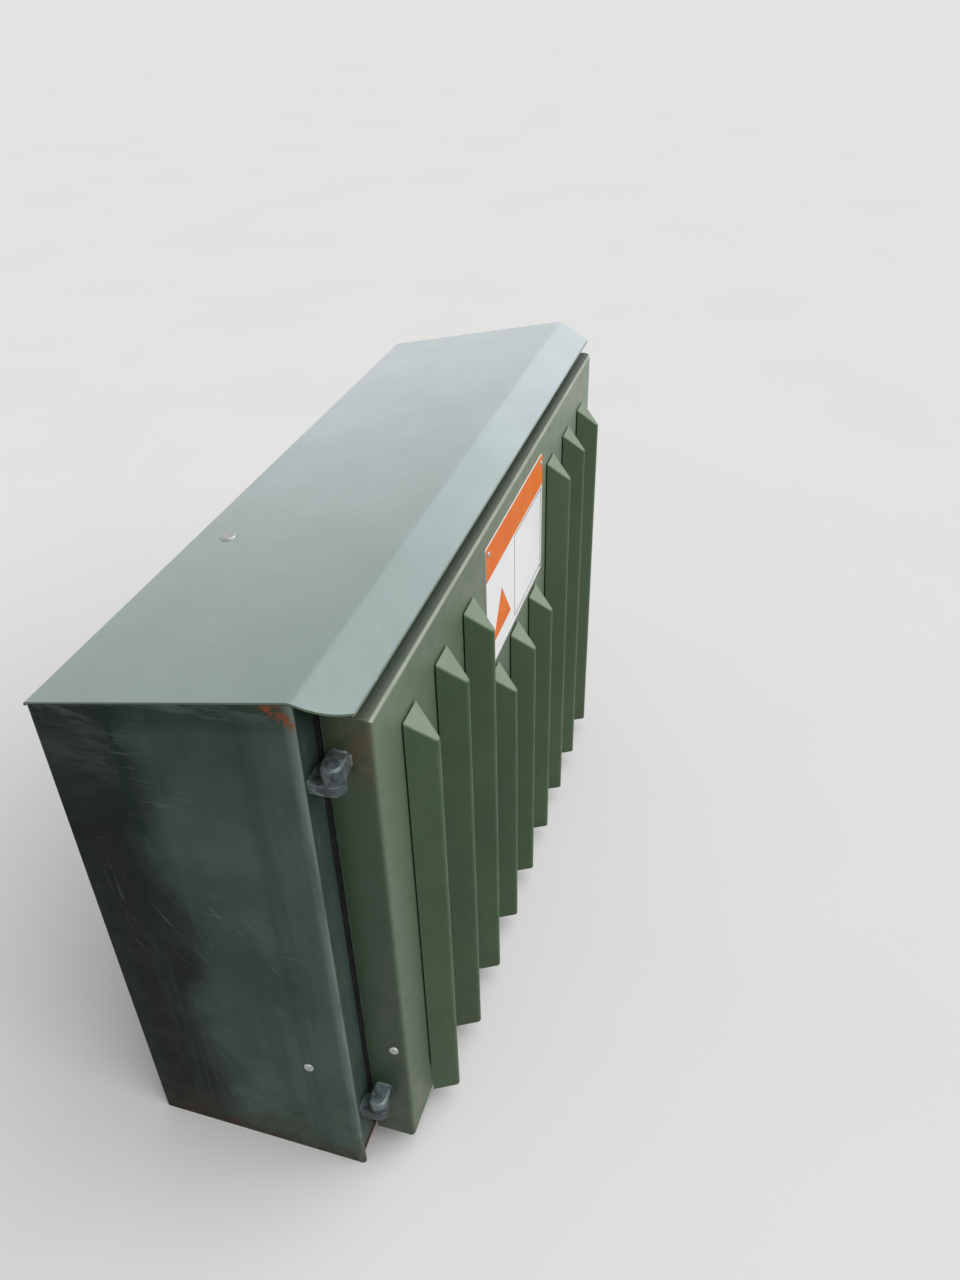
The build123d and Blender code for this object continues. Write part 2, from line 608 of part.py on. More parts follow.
def hood_form(index, shrink):
    """A hood's closed form: a rounded ridge under a sloping top."""
    middle = hood_left(index) + HOOD_WIDTH / 2
    rise = HOOD_DEPTH - HOOD_RIDGE_RADIUS
    lean = atan2(rise, HOOD_WIDTH / 2) + asin(HOOD_RIDGE_RADIUS / hypot(rise, HOOD_WIDTH / 2))
    edge = HOOD_WIDTH / 2 - shrink / cos(pi / 2 - lean)
    apex = edge * tan(lean)
    root = DOOR_FACE_DEPTH
    plan = make_face(Polyline(
        (middle - edge, y_at(root)), (middle, y_at(root + apex)), (middle + edge, y_at(root)), close=True
    ))
    plan = fillet(plan.vertices().sort_by(Axis.Y)[0], HOOD_RIDGE_RADIUS - shrink)
    top = hood_top(index)
    form = Pos(0, 0, DOOR_BASE) * extrude(plan, amount=top - DOOR_BASE)
    fall = HOOD_TOP_DROP / HOOD_DEPTH
    sunk = shrink * hypot(1, fall)
    far = root + 2 * HOOD_DEPTH
    above = slab_x([
        (root - HOOD_DEPTH, top - sunk + HOOD_DEPTH * fall), (far, top - sunk - 2 * HOOD_DEPTH * fall),
        (far, top + HOOD_DEPTH), (root - HOOD_DEPTH, top + 2 * HOOD_DEPTH),
    ], middle - HOOD_WIDTH, middle + HOOD_WIDTH)
    form -= above
    sloped = form.faces().sort_by(Axis.Z)[-1].edges()
    outer = [line for line in sloped if line.bounding_box().size.Y > HOOD_GAUGE]
    return fillet(outer, HOOD_EDGE_RADIUS - shrink)


def vent_hood(index):
    """One folded hood, open below and along its near edge."""
    shell = hood_form(index, 0) - hood_form(index, HOOD_GAUGE)
    x0 = hood_left(index)
    top = hood_top(index)
    near, far = DOOR_FACE_DEPTH - PAST, DOOR_FACE_DEPTH + HOOD_AIR_GAP
    gap = block(x0 - PAST, x0 + HOOD_WIDTH - HOOD_WELD, near, far, DOOR_BASE - PAST, top + PAST)
    gap += block(x0 - PAST, x0 + HOOD_WIDTH + PAST, near, far, top - HOOD_TOP_OPENING, top + PAST)
    return shell - gap


def door_stiffeners():
    """Two folded channels across the inside of the door, above and below the slots."""
    front = DOOR_FACE_DEPTH - DOOR_GAUGE
    x0, x1 = DOOR_LEFT + STIFFENER_END_GAP, DOOR_RIGHT - STIFFENER_END_GAP
    channels = []
    for foot in stiffener_feet():
        side = [
            (front, foot), (front - STIFFENER_LEG, foot),
            (front - STIFFENER_LEG, foot + STIFFENER_HEIGHT), (front, foot + STIFFENER_HEIGHT),
        ]
        channels.append(along_x(side, DOOR_GAUGE, STIFFENER_BEND, Side.LEFT, x0, x1))
    return Compound(channels)


def stiffener_feet():
    """Heights of the lower edges of the two door stiffeners."""
    low = SLOT_BASE - STIFFENER_SLOT_GAP - STIFFENER_HEIGHT
    return low, HOOD_TOP - SLOT_TOP_MARGIN + STIFFENER_SLOT_GAP


def vent_screen():
    """The perforated insect screen on the backs of the two stiffeners."""
    low, high = stiffener_feet()
    z0, z1 = low + STIFFENER_HEIGHT - SCREEN_LAP, high + SCREEN_LAP
    depth = DOOR_FACE_DEPTH - DOOR_GAUGE - STIFFENER_LEG - SCREEN_GAUGE
    x0, x1 = HOODS_LEFT - SCREEN_SIDE_MARGIN, HOODS_RIGHT + SCREEN_SIDE_MARGIN
    sheet = Pos((x0 + x1) / 2, (z0 + z1) / 2) * Rectangle(x1 - x0, z1 - z0)
    rows = int((z1 - z0 - 2 * SCREEN_LAP) // SCREEN_PITCH)
    start = (z0 + z1 - (rows - 1) * SCREEN_PITCH) / 2
    hole = Rectangle(SCREEN_HOLE, SCREEN_HOLE)
    holes = []
    for index in range(1, HOOD_COUNT + 1):
        middle = hood_left(index) + HOOD_WIDTH / 2
        for row in range(rows):
            for side in (-SCREEN_PITCH / 2, SCREEN_PITCH / 2):
                holes.append(Pos(middle + side, start + row * SCREEN_PITCH) * hole)
    sheet -= holes
    return extrude(Plane.XZ.offset(-y_at(depth)) * sheet, amount=SCREEN_GAUGE)


# Lock

def lock_housing():
    """The lock's sleeve, with its flange on the face of the door."""
    face = DOOR_FACE_DEPTH
    body = rod_y(LOCK_X, LOCK_HEIGHT, face, face + LOCK_FLANGE, LOCK_FLANGE_RADIUS)
    body += rod_y(LOCK_X, LOCK_HEIGHT, face - LOCK_SLEEVE_LENGTH, face, LOCK_SLEEVE_RADIUS)
    return body - rod_y(LOCK_X, LOCK_HEIGHT, 0, TOTAL_DEPTH, LOCK_BARREL_RADIUS + LOCK_FIT)


def lock_barrel():
    """The turning barrel with its three-sided key socket and its long rod."""
    front = DOOR_FACE_DEPTH + LOCK_FLANGE - LOCK_BARREL_RECESS
    back = DOOR_FACE_DEPTH - LOCK_SLEEVE_LENGTH
    barrel = rod_y(LOCK_X, LOCK_HEIGHT, back, front, LOCK_BARREL_RADIUS)
    barrel += rod_y(LOCK_X, LOCK_HEIGHT, CAM_DEPTH - CAM_THICKNESS, back, LOCK_ROD_RADIUS)
    socket = Plane.XZ.offset(-y_at(front)) * RegularPolygon(LOCK_KEY_RADIUS, 3)
    return barrel - Pos(LOCK_X, 0, LOCK_HEIGHT) * extrude(socket, amount=-LOCK_KEY_DEPTH)


def lock_cam():
    """The cam, hanging down and clear of the return flange in its unlocked place."""
    near, far = CAM_DEPTH - CAM_THICKNESS, CAM_DEPTH
    cam = rod_y(LOCK_X, LOCK_HEIGHT, near, far, CAM_WIDTH / 2)
    foot = LOCK_HEIGHT - CAM_LENGTH + CAM_WIDTH / 2
    cam += block(LOCK_X - CAM_WIDTH / 2, LOCK_X + CAM_WIDTH / 2, near, far, foot, LOCK_HEIGHT)
    cam += rod_y(LOCK_X, foot, near, far, CAM_WIDTH / 2)
    return cam - rod_y(LOCK_X, LOCK_HEIGHT, near - PAST, far + PAST, LOCK_ROD_RADIUS + LOCK_FIT)


def cam_screw():
    """The domed screw that holds the cam on the rod."""
    place = Pos(LOCK_X, y_at(CAM_DEPTH - CAM_THICKNESS), LOCK_HEIGHT) * Rot(-90, 0, 0)
    return place * domed_head(CAM_SCREW_RADIUS, CAM_SCREW_HEAD)


# Placard and small fasteners

def rivet_places():
    """X and Z of the placard's four rivets."""
    columns = (PLACARD_LEFT + RIVET_INSET, PLACARD_LEFT + PLACARD_WIDTH - RIVET_INSET)
    rows = (PLACARD_BASE + RIVET_INSET, PLACARD_BASE + PLACARD_HEIGHT - RIVET_INSET)
    return [(x, z) for x in columns for z in rows]


def placard():
    """The blank plate on the face of the door."""
    near, far = DOOR_FACE_DEPTH, DOOR_FACE_DEPTH + PLACARD_GAUGE
    plate = block(PLACARD_LEFT, PLACARD_LEFT + PLACARD_WIDTH, near, far,
                  PLACARD_BASE, PLACARD_BASE + PLACARD_HEIGHT)
    plate = fillet(plate.edges().filter_by(Axis.Y), PLACARD_CORNER)
    for x, z in rivet_places():
        plate -= rod_y(x, z, DOOR_BACK_DEPTH, TOTAL_DEPTH, RIVET_SHANK + FASTENER_FIT)
    return plate


def placard_print():
    """Two plain coloured fields: a band along the top and a small triangle."""
    near = DOOR_FACE_DEPTH + PLACARD_GAUGE
    far = near + PLACARD_FILM
    top = PLACARD_BASE + PLACARD_HEIGHT
    band = block(PLACARD_LEFT, PLACARD_LEFT + PLACARD_WIDTH, near, far, top - PLACARD_BAND, top)
    upper = band.edges().filter_by(Axis.Y).group_by(Axis.Z)[-1]
    band = fillet(upper, PLACARD_CORNER)
    for x, z in rivet_places():
        band -= rod_y(x, z, near - PAST, far + PAST, RIVET_SHANK + FASTENER_FIT)
    foot = PLACARD_BASE + PLACARD_FIELD_FOOT
    start = PLACARD_LEFT + PLACARD_FIELD_LEFT
    corners = [(start, foot), (start + PLACARD_FIELD_WIDTH, foot),
               (start + PLACARD_FIELD_WIDTH / 2, foot + PLACARD_FIELD_HEIGHT)]
    field = extrude(Plane.XZ.offset(-y_at(near)) * make_face(Polyline(*corners, close=True)),
                    amount=PLACARD_FILM)
    return Compound([band, field])


def placard_rivets():
    """Four domed rivets through the placard and the door sheet."""
    low_face = DOOR_FACE_DEPTH + PLACARD_GAUGE
    middle = PLACARD_BASE + PLACARD_HEIGHT - PLACARD_BAND
    rivets = []
    for x, z in rivet_places():
        face = low_face + (PLACARD_FILM if z > middle else 0)
        head = Pos(x, y_at(face), z) * Rot(90, 0, 0) * domed_head(RIVET_RADIUS, RIVET_HEAD)
        rivets.append(head + rod_y(x, z, DOOR_FACE_DEPTH - 2 * DOOR_GAUGE, face, RIVET_SHANK))
    return Compound(rivets)


def side_screw(x, depth, z):
    """A domed screw whose head lies on a wall that faces -X, with its shank inside."""
    head = Pos(x, y_at(depth), z) * Rot(0, -90, 0) * domed_head(SCREW_RADIUS, SCREW_HEAD)
    return head + rod_x(x, x + SCREW_LENGTH, depth, z, SCREW_SHANK)


def end_wall_screws():
    """A domed screw through each end wall."""
    screw = side_screw(LEFT, BODY_DEPTH - END_SCREW_SETBACK, END_SCREW_HEIGHT)
    return Compound([screw, mirrored(screw)])


def door_screw():
    """The domed screw through the hinged side of the door."""
    return side_screw(DOOR_LEFT, DOOR_FACE_DEPTH - DOOR_SCREW_BACK, DOOR_SCREW_HEIGHT)


# Equipment on the board

def gear_board():
    """The flat board that carries the equipment."""
    x0, x1 = LEFT + BOARD_SIDE_GAP, RIGHT - BOARD_SIDE_GAP
    return block(x0, x1, BOARD_DEPTH, BOARD_FRONT, BOARD_BASE, BOARD_TOP)


def board_standoffs():
    """Six round spacers between the back panel and the board."""
    x0, x1 = LEFT + BOARD_SIDE_GAP + STANDOFF_INSET, RIGHT - BOARD_SIDE_GAP - STANDOFF_INSET
    rows = (BOARD_BASE + STANDOFF_INSET, BOARD_TOP - STANDOFF_INSET)
    spots = [(x, z) for x in (x0, (x0 + x1) / 2, x1) for z in rows]
    return Compound([rod_y(x, z, INNER_BACK, BOARD_DEPTH, STANDOFF_RADIUS) for x, z in spots])


def busbar(step):
    """One of three flat bars that run to the main switch; step is -1, 0 or 1."""
    middle = BUSBAR_MIDDLE_HEIGHT + step * BUSBAR_SPACING
    return block(BUSBAR_LEFT, SWITCH_LEFT - SWITCH_GAP, BUSBAR_DEPTH, FUSE_DEPTH,
                 middle - BUSBAR_HEIGHT / 2, middle + BUSBAR_HEIGHT / 2)


def low_bar(height):
    """The neutral or the earth bar, with a row of terminal holes."""
    bar = block(BUSBAR_LEFT, BUSBAR_LEFT + LOW_BAR_LENGTH, BUSBAR_DEPTH, FUSE_DEPTH,
                height - BUSBAR_HEIGHT / 2, height + BUSBAR_HEIGHT / 2)
    middle = BUSBAR_LEFT + LOW_BAR_LENGTH / 2
    count = int((LOW_BAR_LENGTH - 2 * TERMINAL_MARGIN) // TERMINAL_PITCH) + 1
    holes = []
    for place in range(count):
        x = middle + (place - (count - 1) / 2) * TERMINAL_PITCH
        holes.append(rod_y(x, height, BUSBAR_DEPTH - PAST, FUSE_DEPTH + PAST, TERMINAL_RADIUS))
    return bar - Compound(holes)


def bar_supports():
    """Slotted insulators for the busbars and round posts for the two low bars."""
    pieces = []
    reach = BUSBAR_SPACING + BUSBAR_HEIGHT / 2 + SUPPORT_MARGIN
    front = FUSE_DEPTH + BUSBAR_GAUGE
    for x in support_places():
        comb = block(x - SUPPORT_WIDTH / 2, x + SUPPORT_WIDTH / 2, BOARD_FRONT, front,
                     BUSBAR_MIDDLE_HEIGHT - reach, BUSBAR_MIDDLE_HEIGHT + reach)
        for step in PHASES:
            middle = BUSBAR_MIDDLE_HEIGHT + step * BUSBAR_SPACING
            half = BUSBAR_HEIGHT / 2 + SUPPORT_NOTCH_FIT
            comb -= block(x - SUPPORT_WIDTH, x + SUPPORT_WIDTH, BUSBAR_DEPTH - SUPPORT_NOTCH_FIT,
                          FUSE_DEPTH + SUPPORT_NOTCH_FIT, middle - half, middle + half)
        pieces.append(comb)
    for height in (NEUTRAL_HEIGHT, EARTH_HEIGHT):
        for x in (BUSBAR_LEFT + POST_INSET, BUSBAR_LEFT + LOW_BAR_LENGTH - POST_INSET):
            pieces.append(rod_y(x, height, BOARD_FRONT, BUSBAR_DEPTH, POST_RADIUS))
    return Compound(pieces)


def support_places():
    """X of the middle of each busbar support, between the fuse switches."""
    return [FIRST_SUPPORT + FUSE_PITCH * place for place in range(FUSE_COUNT + 1)]


# Fuse switches

def fuse_middle(index):
    """X of the middle of a fuse switch; units count from 1."""
    return LEFT + FUSE_FIRST + FUSE_PITCH * (index - 1)


def link_middles(index):
    """X of the middle of each of a unit's three fuse links."""
    return [fuse_middle(index) + step * LINK_PITCH for step in PHASES]


def fuse_base(index):
    """A unit's base: a block with three fuse chambers and two cheeks with pivot bores."""
    x = fuse_middle(index)
    x0, x1 = x - FUSE_WIDTH / 2, x + FUSE_WIDTH / 2
    z1 = FUSE_BASE + FUSE_HEIGHT
    base = block(x0, x1, FUSE_DEPTH, FUSE_FRONT, FUSE_BASE, z1)
    for side in (x0, x1 - CHEEK_GAUGE):
        base += block(side, side + CHEEK_GAUGE, FUSE_FRONT, FUSE_FRONT + CHEEK_REACH, FUSE_BASE, z1)
    base -= rod_x(x0 - PAST, x1 + PAST, LID_PIVOT_DEPTH, LID_PIVOT_Z, TRUNNION_RADIUS + LID_FIT)
    foot = LID_PIVOT_Z + LINK_LIFT - LINK_CHAMBER_GAP
    deep = LINK_SEAT_DEPTH - LINK_DEPTH - LINK_CHAMBER_GAP
    for middle in link_middles(index):
        half = LINK_WIDTH / 2 + LINK_CHAMBER_GAP
        base -= block(middle - half, middle + half, deep, FUSE_FRONT + PAST,
                      foot, foot + LINK_HEIGHT + LINK_CHAMBER_RISE)
    return base


def fuse_lid(index):
    """A unit's lid: a shell with a round foot, two trunnions and a pull grip."""
    x = fuse_middle(index)
    top = FUSE_BASE + FUSE_HEIGHT - LID_TOP_GAP
    near, far = LID_PIVOT_DEPTH - LID_RADIUS, LID_PIVOT_DEPTH + LID_RADIUS
    lid = rod_x(x - LID_HALF, x + LID_HALF, LID_PIVOT_DEPTH, LID_PIVOT_Z, LID_RADIUS)
    lid += block(x - LID_HALF, x + LID_HALF, near, far, LID_PIVOT_Z, top)
    lid -= block(x - LID_HALF + LID_WALL, x + LID_HALF - LID_WALL, near - PAST, LINK_SEAT_DEPTH,
                 LID_PIVOT_Z + LID_RADIUS, top - LID_WALL)
    reach = FUSE_WIDTH / 2 - TRUNNION_END_GAP
    lid += rod_x(x - reach, x + reach, LID_PIVOT_DEPTH, LID_PIVOT_Z, TRUNNION_RADIUS)
    grip_foot = top - LID_GRIP_DROP
    half = LID_GRIP_WIDTH / 2
    grip = block(x - half, x + half, far, far + LID_GRIP_REACH, grip_foot, grip_foot + LID_GRIP_HEIGHT)
    inner = half - LID_GRIP_SLOT
    grip -= block(x - inner, x + inner, far, far + LID_GRIP_REACH - LID_GRIP_SLOT,
                  grip_foot - PAST, grip_foot + LID_GRIP_HEIGHT + PAST)
    return lid + grip


def fuse_links(index):
    """The three fuse links that a lid carries inside."""
    back = LINK_SEAT_DEPTH - LINK_DEPTH
    foot = LID_PIVOT_Z + LINK_LIFT
    return Compound([
        block(x - LINK_WIDTH / 2, x + LINK_WIDTH / 2, back, LINK_SEAT_DEPTH, foot, foot + LINK_HEIGHT)
        for x in link_middles(index)
    ])


# Main switch

def switch_centre():
    """X of the main switch's spindle."""
    return SWITCH_LEFT + SWITCH_WIDTH / 2


def main_switch():
    """The main switch's case with a round boss for its spindle."""
    front = BOARD_FRONT + SWITCH_DEPTH
    case = block(SWITCH_LEFT, SWITCH_LEFT + SWITCH_WIDTH, BOARD_FRONT, front,
                 BUSBAR_MIDDLE_HEIGHT - SWITCH_HEIGHT / 2, BUSBAR_MIDDLE_HEIGHT + SWITCH_HEIGHT / 2)
    case = chamfer(case.faces().sort_by(Axis.Y)[0].edges(), SWITCH_EDGE)
    case += rod_y(switch_centre(), BUSBAR_MIDDLE_HEIGHT, front, front + SWITCH_BOSS, SWITCH_BOSS_RADIUS)
    bore_end = front + SWITCH_BOSS - SWITCH_SHAFT - FACE_CLEARANCE
    return case - rod_y(switch_centre(), BUSBAR_MIDDLE_HEIGHT, bore_end, front + SWITCH_BOSS + PAST,
                        SWITCH_SHAFT_RADIUS + SWITCH_FIT)


def switch_handle():
    """The turning handle: spindle, round knob and an upright lever."""
    front = BOARD_FRONT + SWITCH_DEPTH + SWITCH_BOSS
    x, z = switch_centre(), BUSBAR_MIDDLE_HEIGHT
    knob_front = front + FACE_CLEARANCE + KNOB_THICKNESS
    handle = rod_y(x, z, front - SWITCH_SHAFT, front + FACE_CLEARANCE, SWITCH_SHAFT_RADIUS)
    handle += rod_y(x, z, front + FACE_CLEARANCE, knob_front, KNOB_RADIUS)
    lever = block(x - LEVER_WIDTH / 2, x + LEVER_WIDTH / 2, knob_front, knob_front + LEVER_THICKNESS,
                  z - LEVER_LENGTH / 2, z + LEVER_LENGTH / 2)
    return handle + fillet(lever.edges().filter_by(Axis.Y), LEVER_ROUND)


def cable_rail():
    """The slotted channel across the foot, with a cleat at each end wall."""
    face = CABLE_RAIL_BACK + CABLE_RAIL_DEPTH
    z0, z1 = CABLE_RAIL_BASE, CABLE_RAIL_BASE + CABLE_RAIL_HEIGHT
    side = [(CABLE_RAIL_BACK, z0), (face, z0), (face, z1), (CABLE_RAIL_BACK, z1)]
    x0, x1 = LEFT + BODY_GAUGE + CLEAT_GAUGE, RIGHT - BODY_GAUGE - CLEAT_GAUGE
    rail = along_x(side, CABLE_RAIL_GAUGE, CABLE_RAIL_BEND, Side.RIGHT, x0, x1)
    room = x1 - x0 - 2 * CABLE_SLOT_PITCH
    count = int(room // CABLE_SLOT_PITCH) + 1
    middle = (z0 + z1) / 2
    slots = []
    for place in range(count):
        x = (place - (count - 1) / 2) * CABLE_SLOT_PITCH
        slots.append(block(x - CABLE_SLOT / 2, x + CABLE_SLOT / 2, CABLE_RAIL_BACK, face + PAST,
                           middle - CABLE_SLOT_HEIGHT / 2, middle + CABLE_SLOT_HEIGHT / 2))
    rail -= Compound(slots)
    cleat = block(x0 - CLEAT_GAUGE, x0, CABLE_RAIL_BACK - CLEAT_LENGTH / 2, face, z0, z1)
    return rail + cleat + mirrored(cleat)


def make_parts():
    """Every piece of the cabinet, by name."""
    front_rail_depth = BODY_DEPTH - RAIL_SETBACK
    parts = {
        "base_rail_front": base_rail_long(front_rail_depth, -1),
        "base_rail_back": base_rail_long(INNER_BACK, 1),
        "base_rail_left": base_rail_end(),
        "base_rail_right": mirrored(base_rail_end()),
        "back_panel": back_panel(),
        "end_panel_left": end_panel(),
        "end_panel_right": mirrored(end_panel()),
        "roof_panel": roof_panel(),
        "roof_plug": roof_plug(),
        "door_header": door_header(),
        "door_sill": door_sill(),
        "door_seal": door_seal(),
        "end_wall_screws": end_wall_screws(),
        "gear_board": gear_board(),
        "board_standoffs": board_standoffs(),
        "busbar_lower": busbar(-1),
        "busbar_middle": busbar(0),
        "busbar_upper": busbar(1),
        "neutral_bar": low_bar(NEUTRAL_HEIGHT),
        "earth_bar": low_bar(EARTH_HEIGHT),
        "bar_supports": bar_supports(),
        "main_switch": main_switch(),
        "switch_handle": switch_handle(),
        "cable_rail": cable_rail(),
        "door_skin": door_skin(),
        "door_stiffeners": door_stiffeners(),
        "vent_screen": vent_screen(),
        "door_screw": door_screw(),
        "placard": placard(),
        "placard_print": placard_print(),
        "placard_rivets": placard_rivets(),
        "lock_housing": lock_housing(),
        "lock_barrel": lock_barrel(),
        "lock_cam": lock_cam(),
        "cam_screw": cam_screw(),
    }
    for name, base in (("lower", HINGE_LOW), ("upper", DOOR_TOP - HINGE_DROP)):
        parts[f"hinge_lug_{name}"] = hinge_lug(base)
        parts[f"hinge_pin_{name}"] = hinge_pin(base)
        parts[f"hinge_knuckle_{name}"] = hinge_knuckle(base)
    for index in range(1, HOOD_COUNT + 1):
        parts[f"vent_hood_{index}"] = vent_hood(index)
    for index in range(1, FUSE_COUNT + 1):
        parts[f"fuse_base_{index}"] = fuse_base(index)
        parts[f"fuse_lid_{index}"] = fuse_lid(index)
        parts[f"fuse_links_{index}"] = fuse_links(index)
    return parts


os.makedirs("parts", exist_ok=True)
for part_name, shape in make_parts().items():
    export_step(shape, f"parts/{part_name}.step")
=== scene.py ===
import logging
import math
from dataclasses import dataclass
from enum import Enum
from typing import Protocol, Union

import bmesh
import bpy
from mathutils import Matrix, Vector
from mathutils import noise as ripple


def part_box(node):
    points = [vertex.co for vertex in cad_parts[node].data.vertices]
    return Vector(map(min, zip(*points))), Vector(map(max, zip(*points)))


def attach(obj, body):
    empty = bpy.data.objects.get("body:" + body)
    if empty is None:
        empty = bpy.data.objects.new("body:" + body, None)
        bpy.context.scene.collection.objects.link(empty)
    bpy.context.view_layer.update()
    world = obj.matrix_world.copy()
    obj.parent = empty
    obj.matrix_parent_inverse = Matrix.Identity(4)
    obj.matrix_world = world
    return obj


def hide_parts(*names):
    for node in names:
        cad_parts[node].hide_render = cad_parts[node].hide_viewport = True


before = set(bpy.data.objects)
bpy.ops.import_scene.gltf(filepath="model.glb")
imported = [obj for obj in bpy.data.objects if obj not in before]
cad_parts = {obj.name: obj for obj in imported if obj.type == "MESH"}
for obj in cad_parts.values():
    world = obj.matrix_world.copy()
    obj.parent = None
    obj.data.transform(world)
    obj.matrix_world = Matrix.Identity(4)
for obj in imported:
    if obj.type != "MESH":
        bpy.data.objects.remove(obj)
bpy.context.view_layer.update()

# The looks of the roadside cabinet: its paint, metals, mouldings, welds and small trim,
# then the studio and the camera. Everything is in metres, in the frame of the solids.

log = logging.getLogger("cabinet")

Socket = bpy.types.NodeSocket
Colour = tuple[float, float, float, float]
Value = Union[Socket, float]
Point = tuple[float, float, float]
Tint = Union[Socket, Colour]
Span = tuple[float, float]

DEEP_GREEN: Colour = (0.034, 0.072, 0.030, 1.0)
SHEET_GREEN: Colour = (0.060, 0.112, 0.048, 1.0)
# dark green of the end and back walls' cloudy tone, their dark runs and the drip line; also the painted shade
# under the roof and on the front flange
DARK_GREEN_AND_SHADE: Colour = (0.007, 0.0215, 0.0152, 1.0)
BLUE_GREEN: Colour = (0.090, 0.135, 0.110, 1.0)
# chalky film on what faces up, also the painted sheen of the sky on it; the pale bluish one is painted sky
# reflection on the roof
CHALK_AND_SHEEN_GREEN: Colour = (0.240, 0.325, 0.305, 1.0)
PALE_CHALK_AND_SKY_SHEEN: Colour = (0.560, 0.650, 0.680, 1.0)
FADED_GREEN: Colour = (0.150, 0.195, 0.125, 1.0)
# faded film on the door, also the chalky film with painted sheen on the tops of the door and hoods
FADE_AND_TOP_SHEEN: Colour = (0.275, 0.335, 0.250, 1.0)
SIDE_GREY: Colour = (0.030, 0.046, 0.032, 1.0)
REAR_SHADE: Colour = (0.0045, 0.0085, 0.0070, 1.0)
# painted shadow and painted highlight on the door's top bend
PAINTED_SHADOW_GREEN: Colour = (0.045, 0.060, 0.048, 1.0)
PAINTED_HIGHLIGHT: Colour = (0.480, 0.520, 0.440, 1.0)
PALE_MARK: Colour = (0.450, 0.500, 0.490, 1.0)
DUST: Colour = (0.300, 0.290, 0.250, 1.0)
SOIL: Colour = (0.052, 0.046, 0.034, 1.0)
# pale rubbed paint, also the painted highlight along the end wall's front fold
RUB_AND_HIGHLIGHT: Colour = (0.200, 0.240, 0.220, 1.0)
RUST: Colour = (0.300, 0.085, 0.034, 1.0)
DARK_RUST: Colour = (0.055, 0.020, 0.012, 1.0)
PRIMER_BROWN: Colour = (0.135, 0.090, 0.050, 1.0)

BODY_CENTRE: Point = (0.0, 0.04, 0.42)
DOOR_CENTRE: Point = (0.0, -0.142, 0.41)
SHARP_CORNER: Span = (0.995, 0.80)
SHARP_ANGLE = 35.0

# The sockets of a Mix node that blends colours.
MIX_SHARE, MIX_UNDER, MIX_OVER, MIX_RESULT = 0, 6, 7, 2


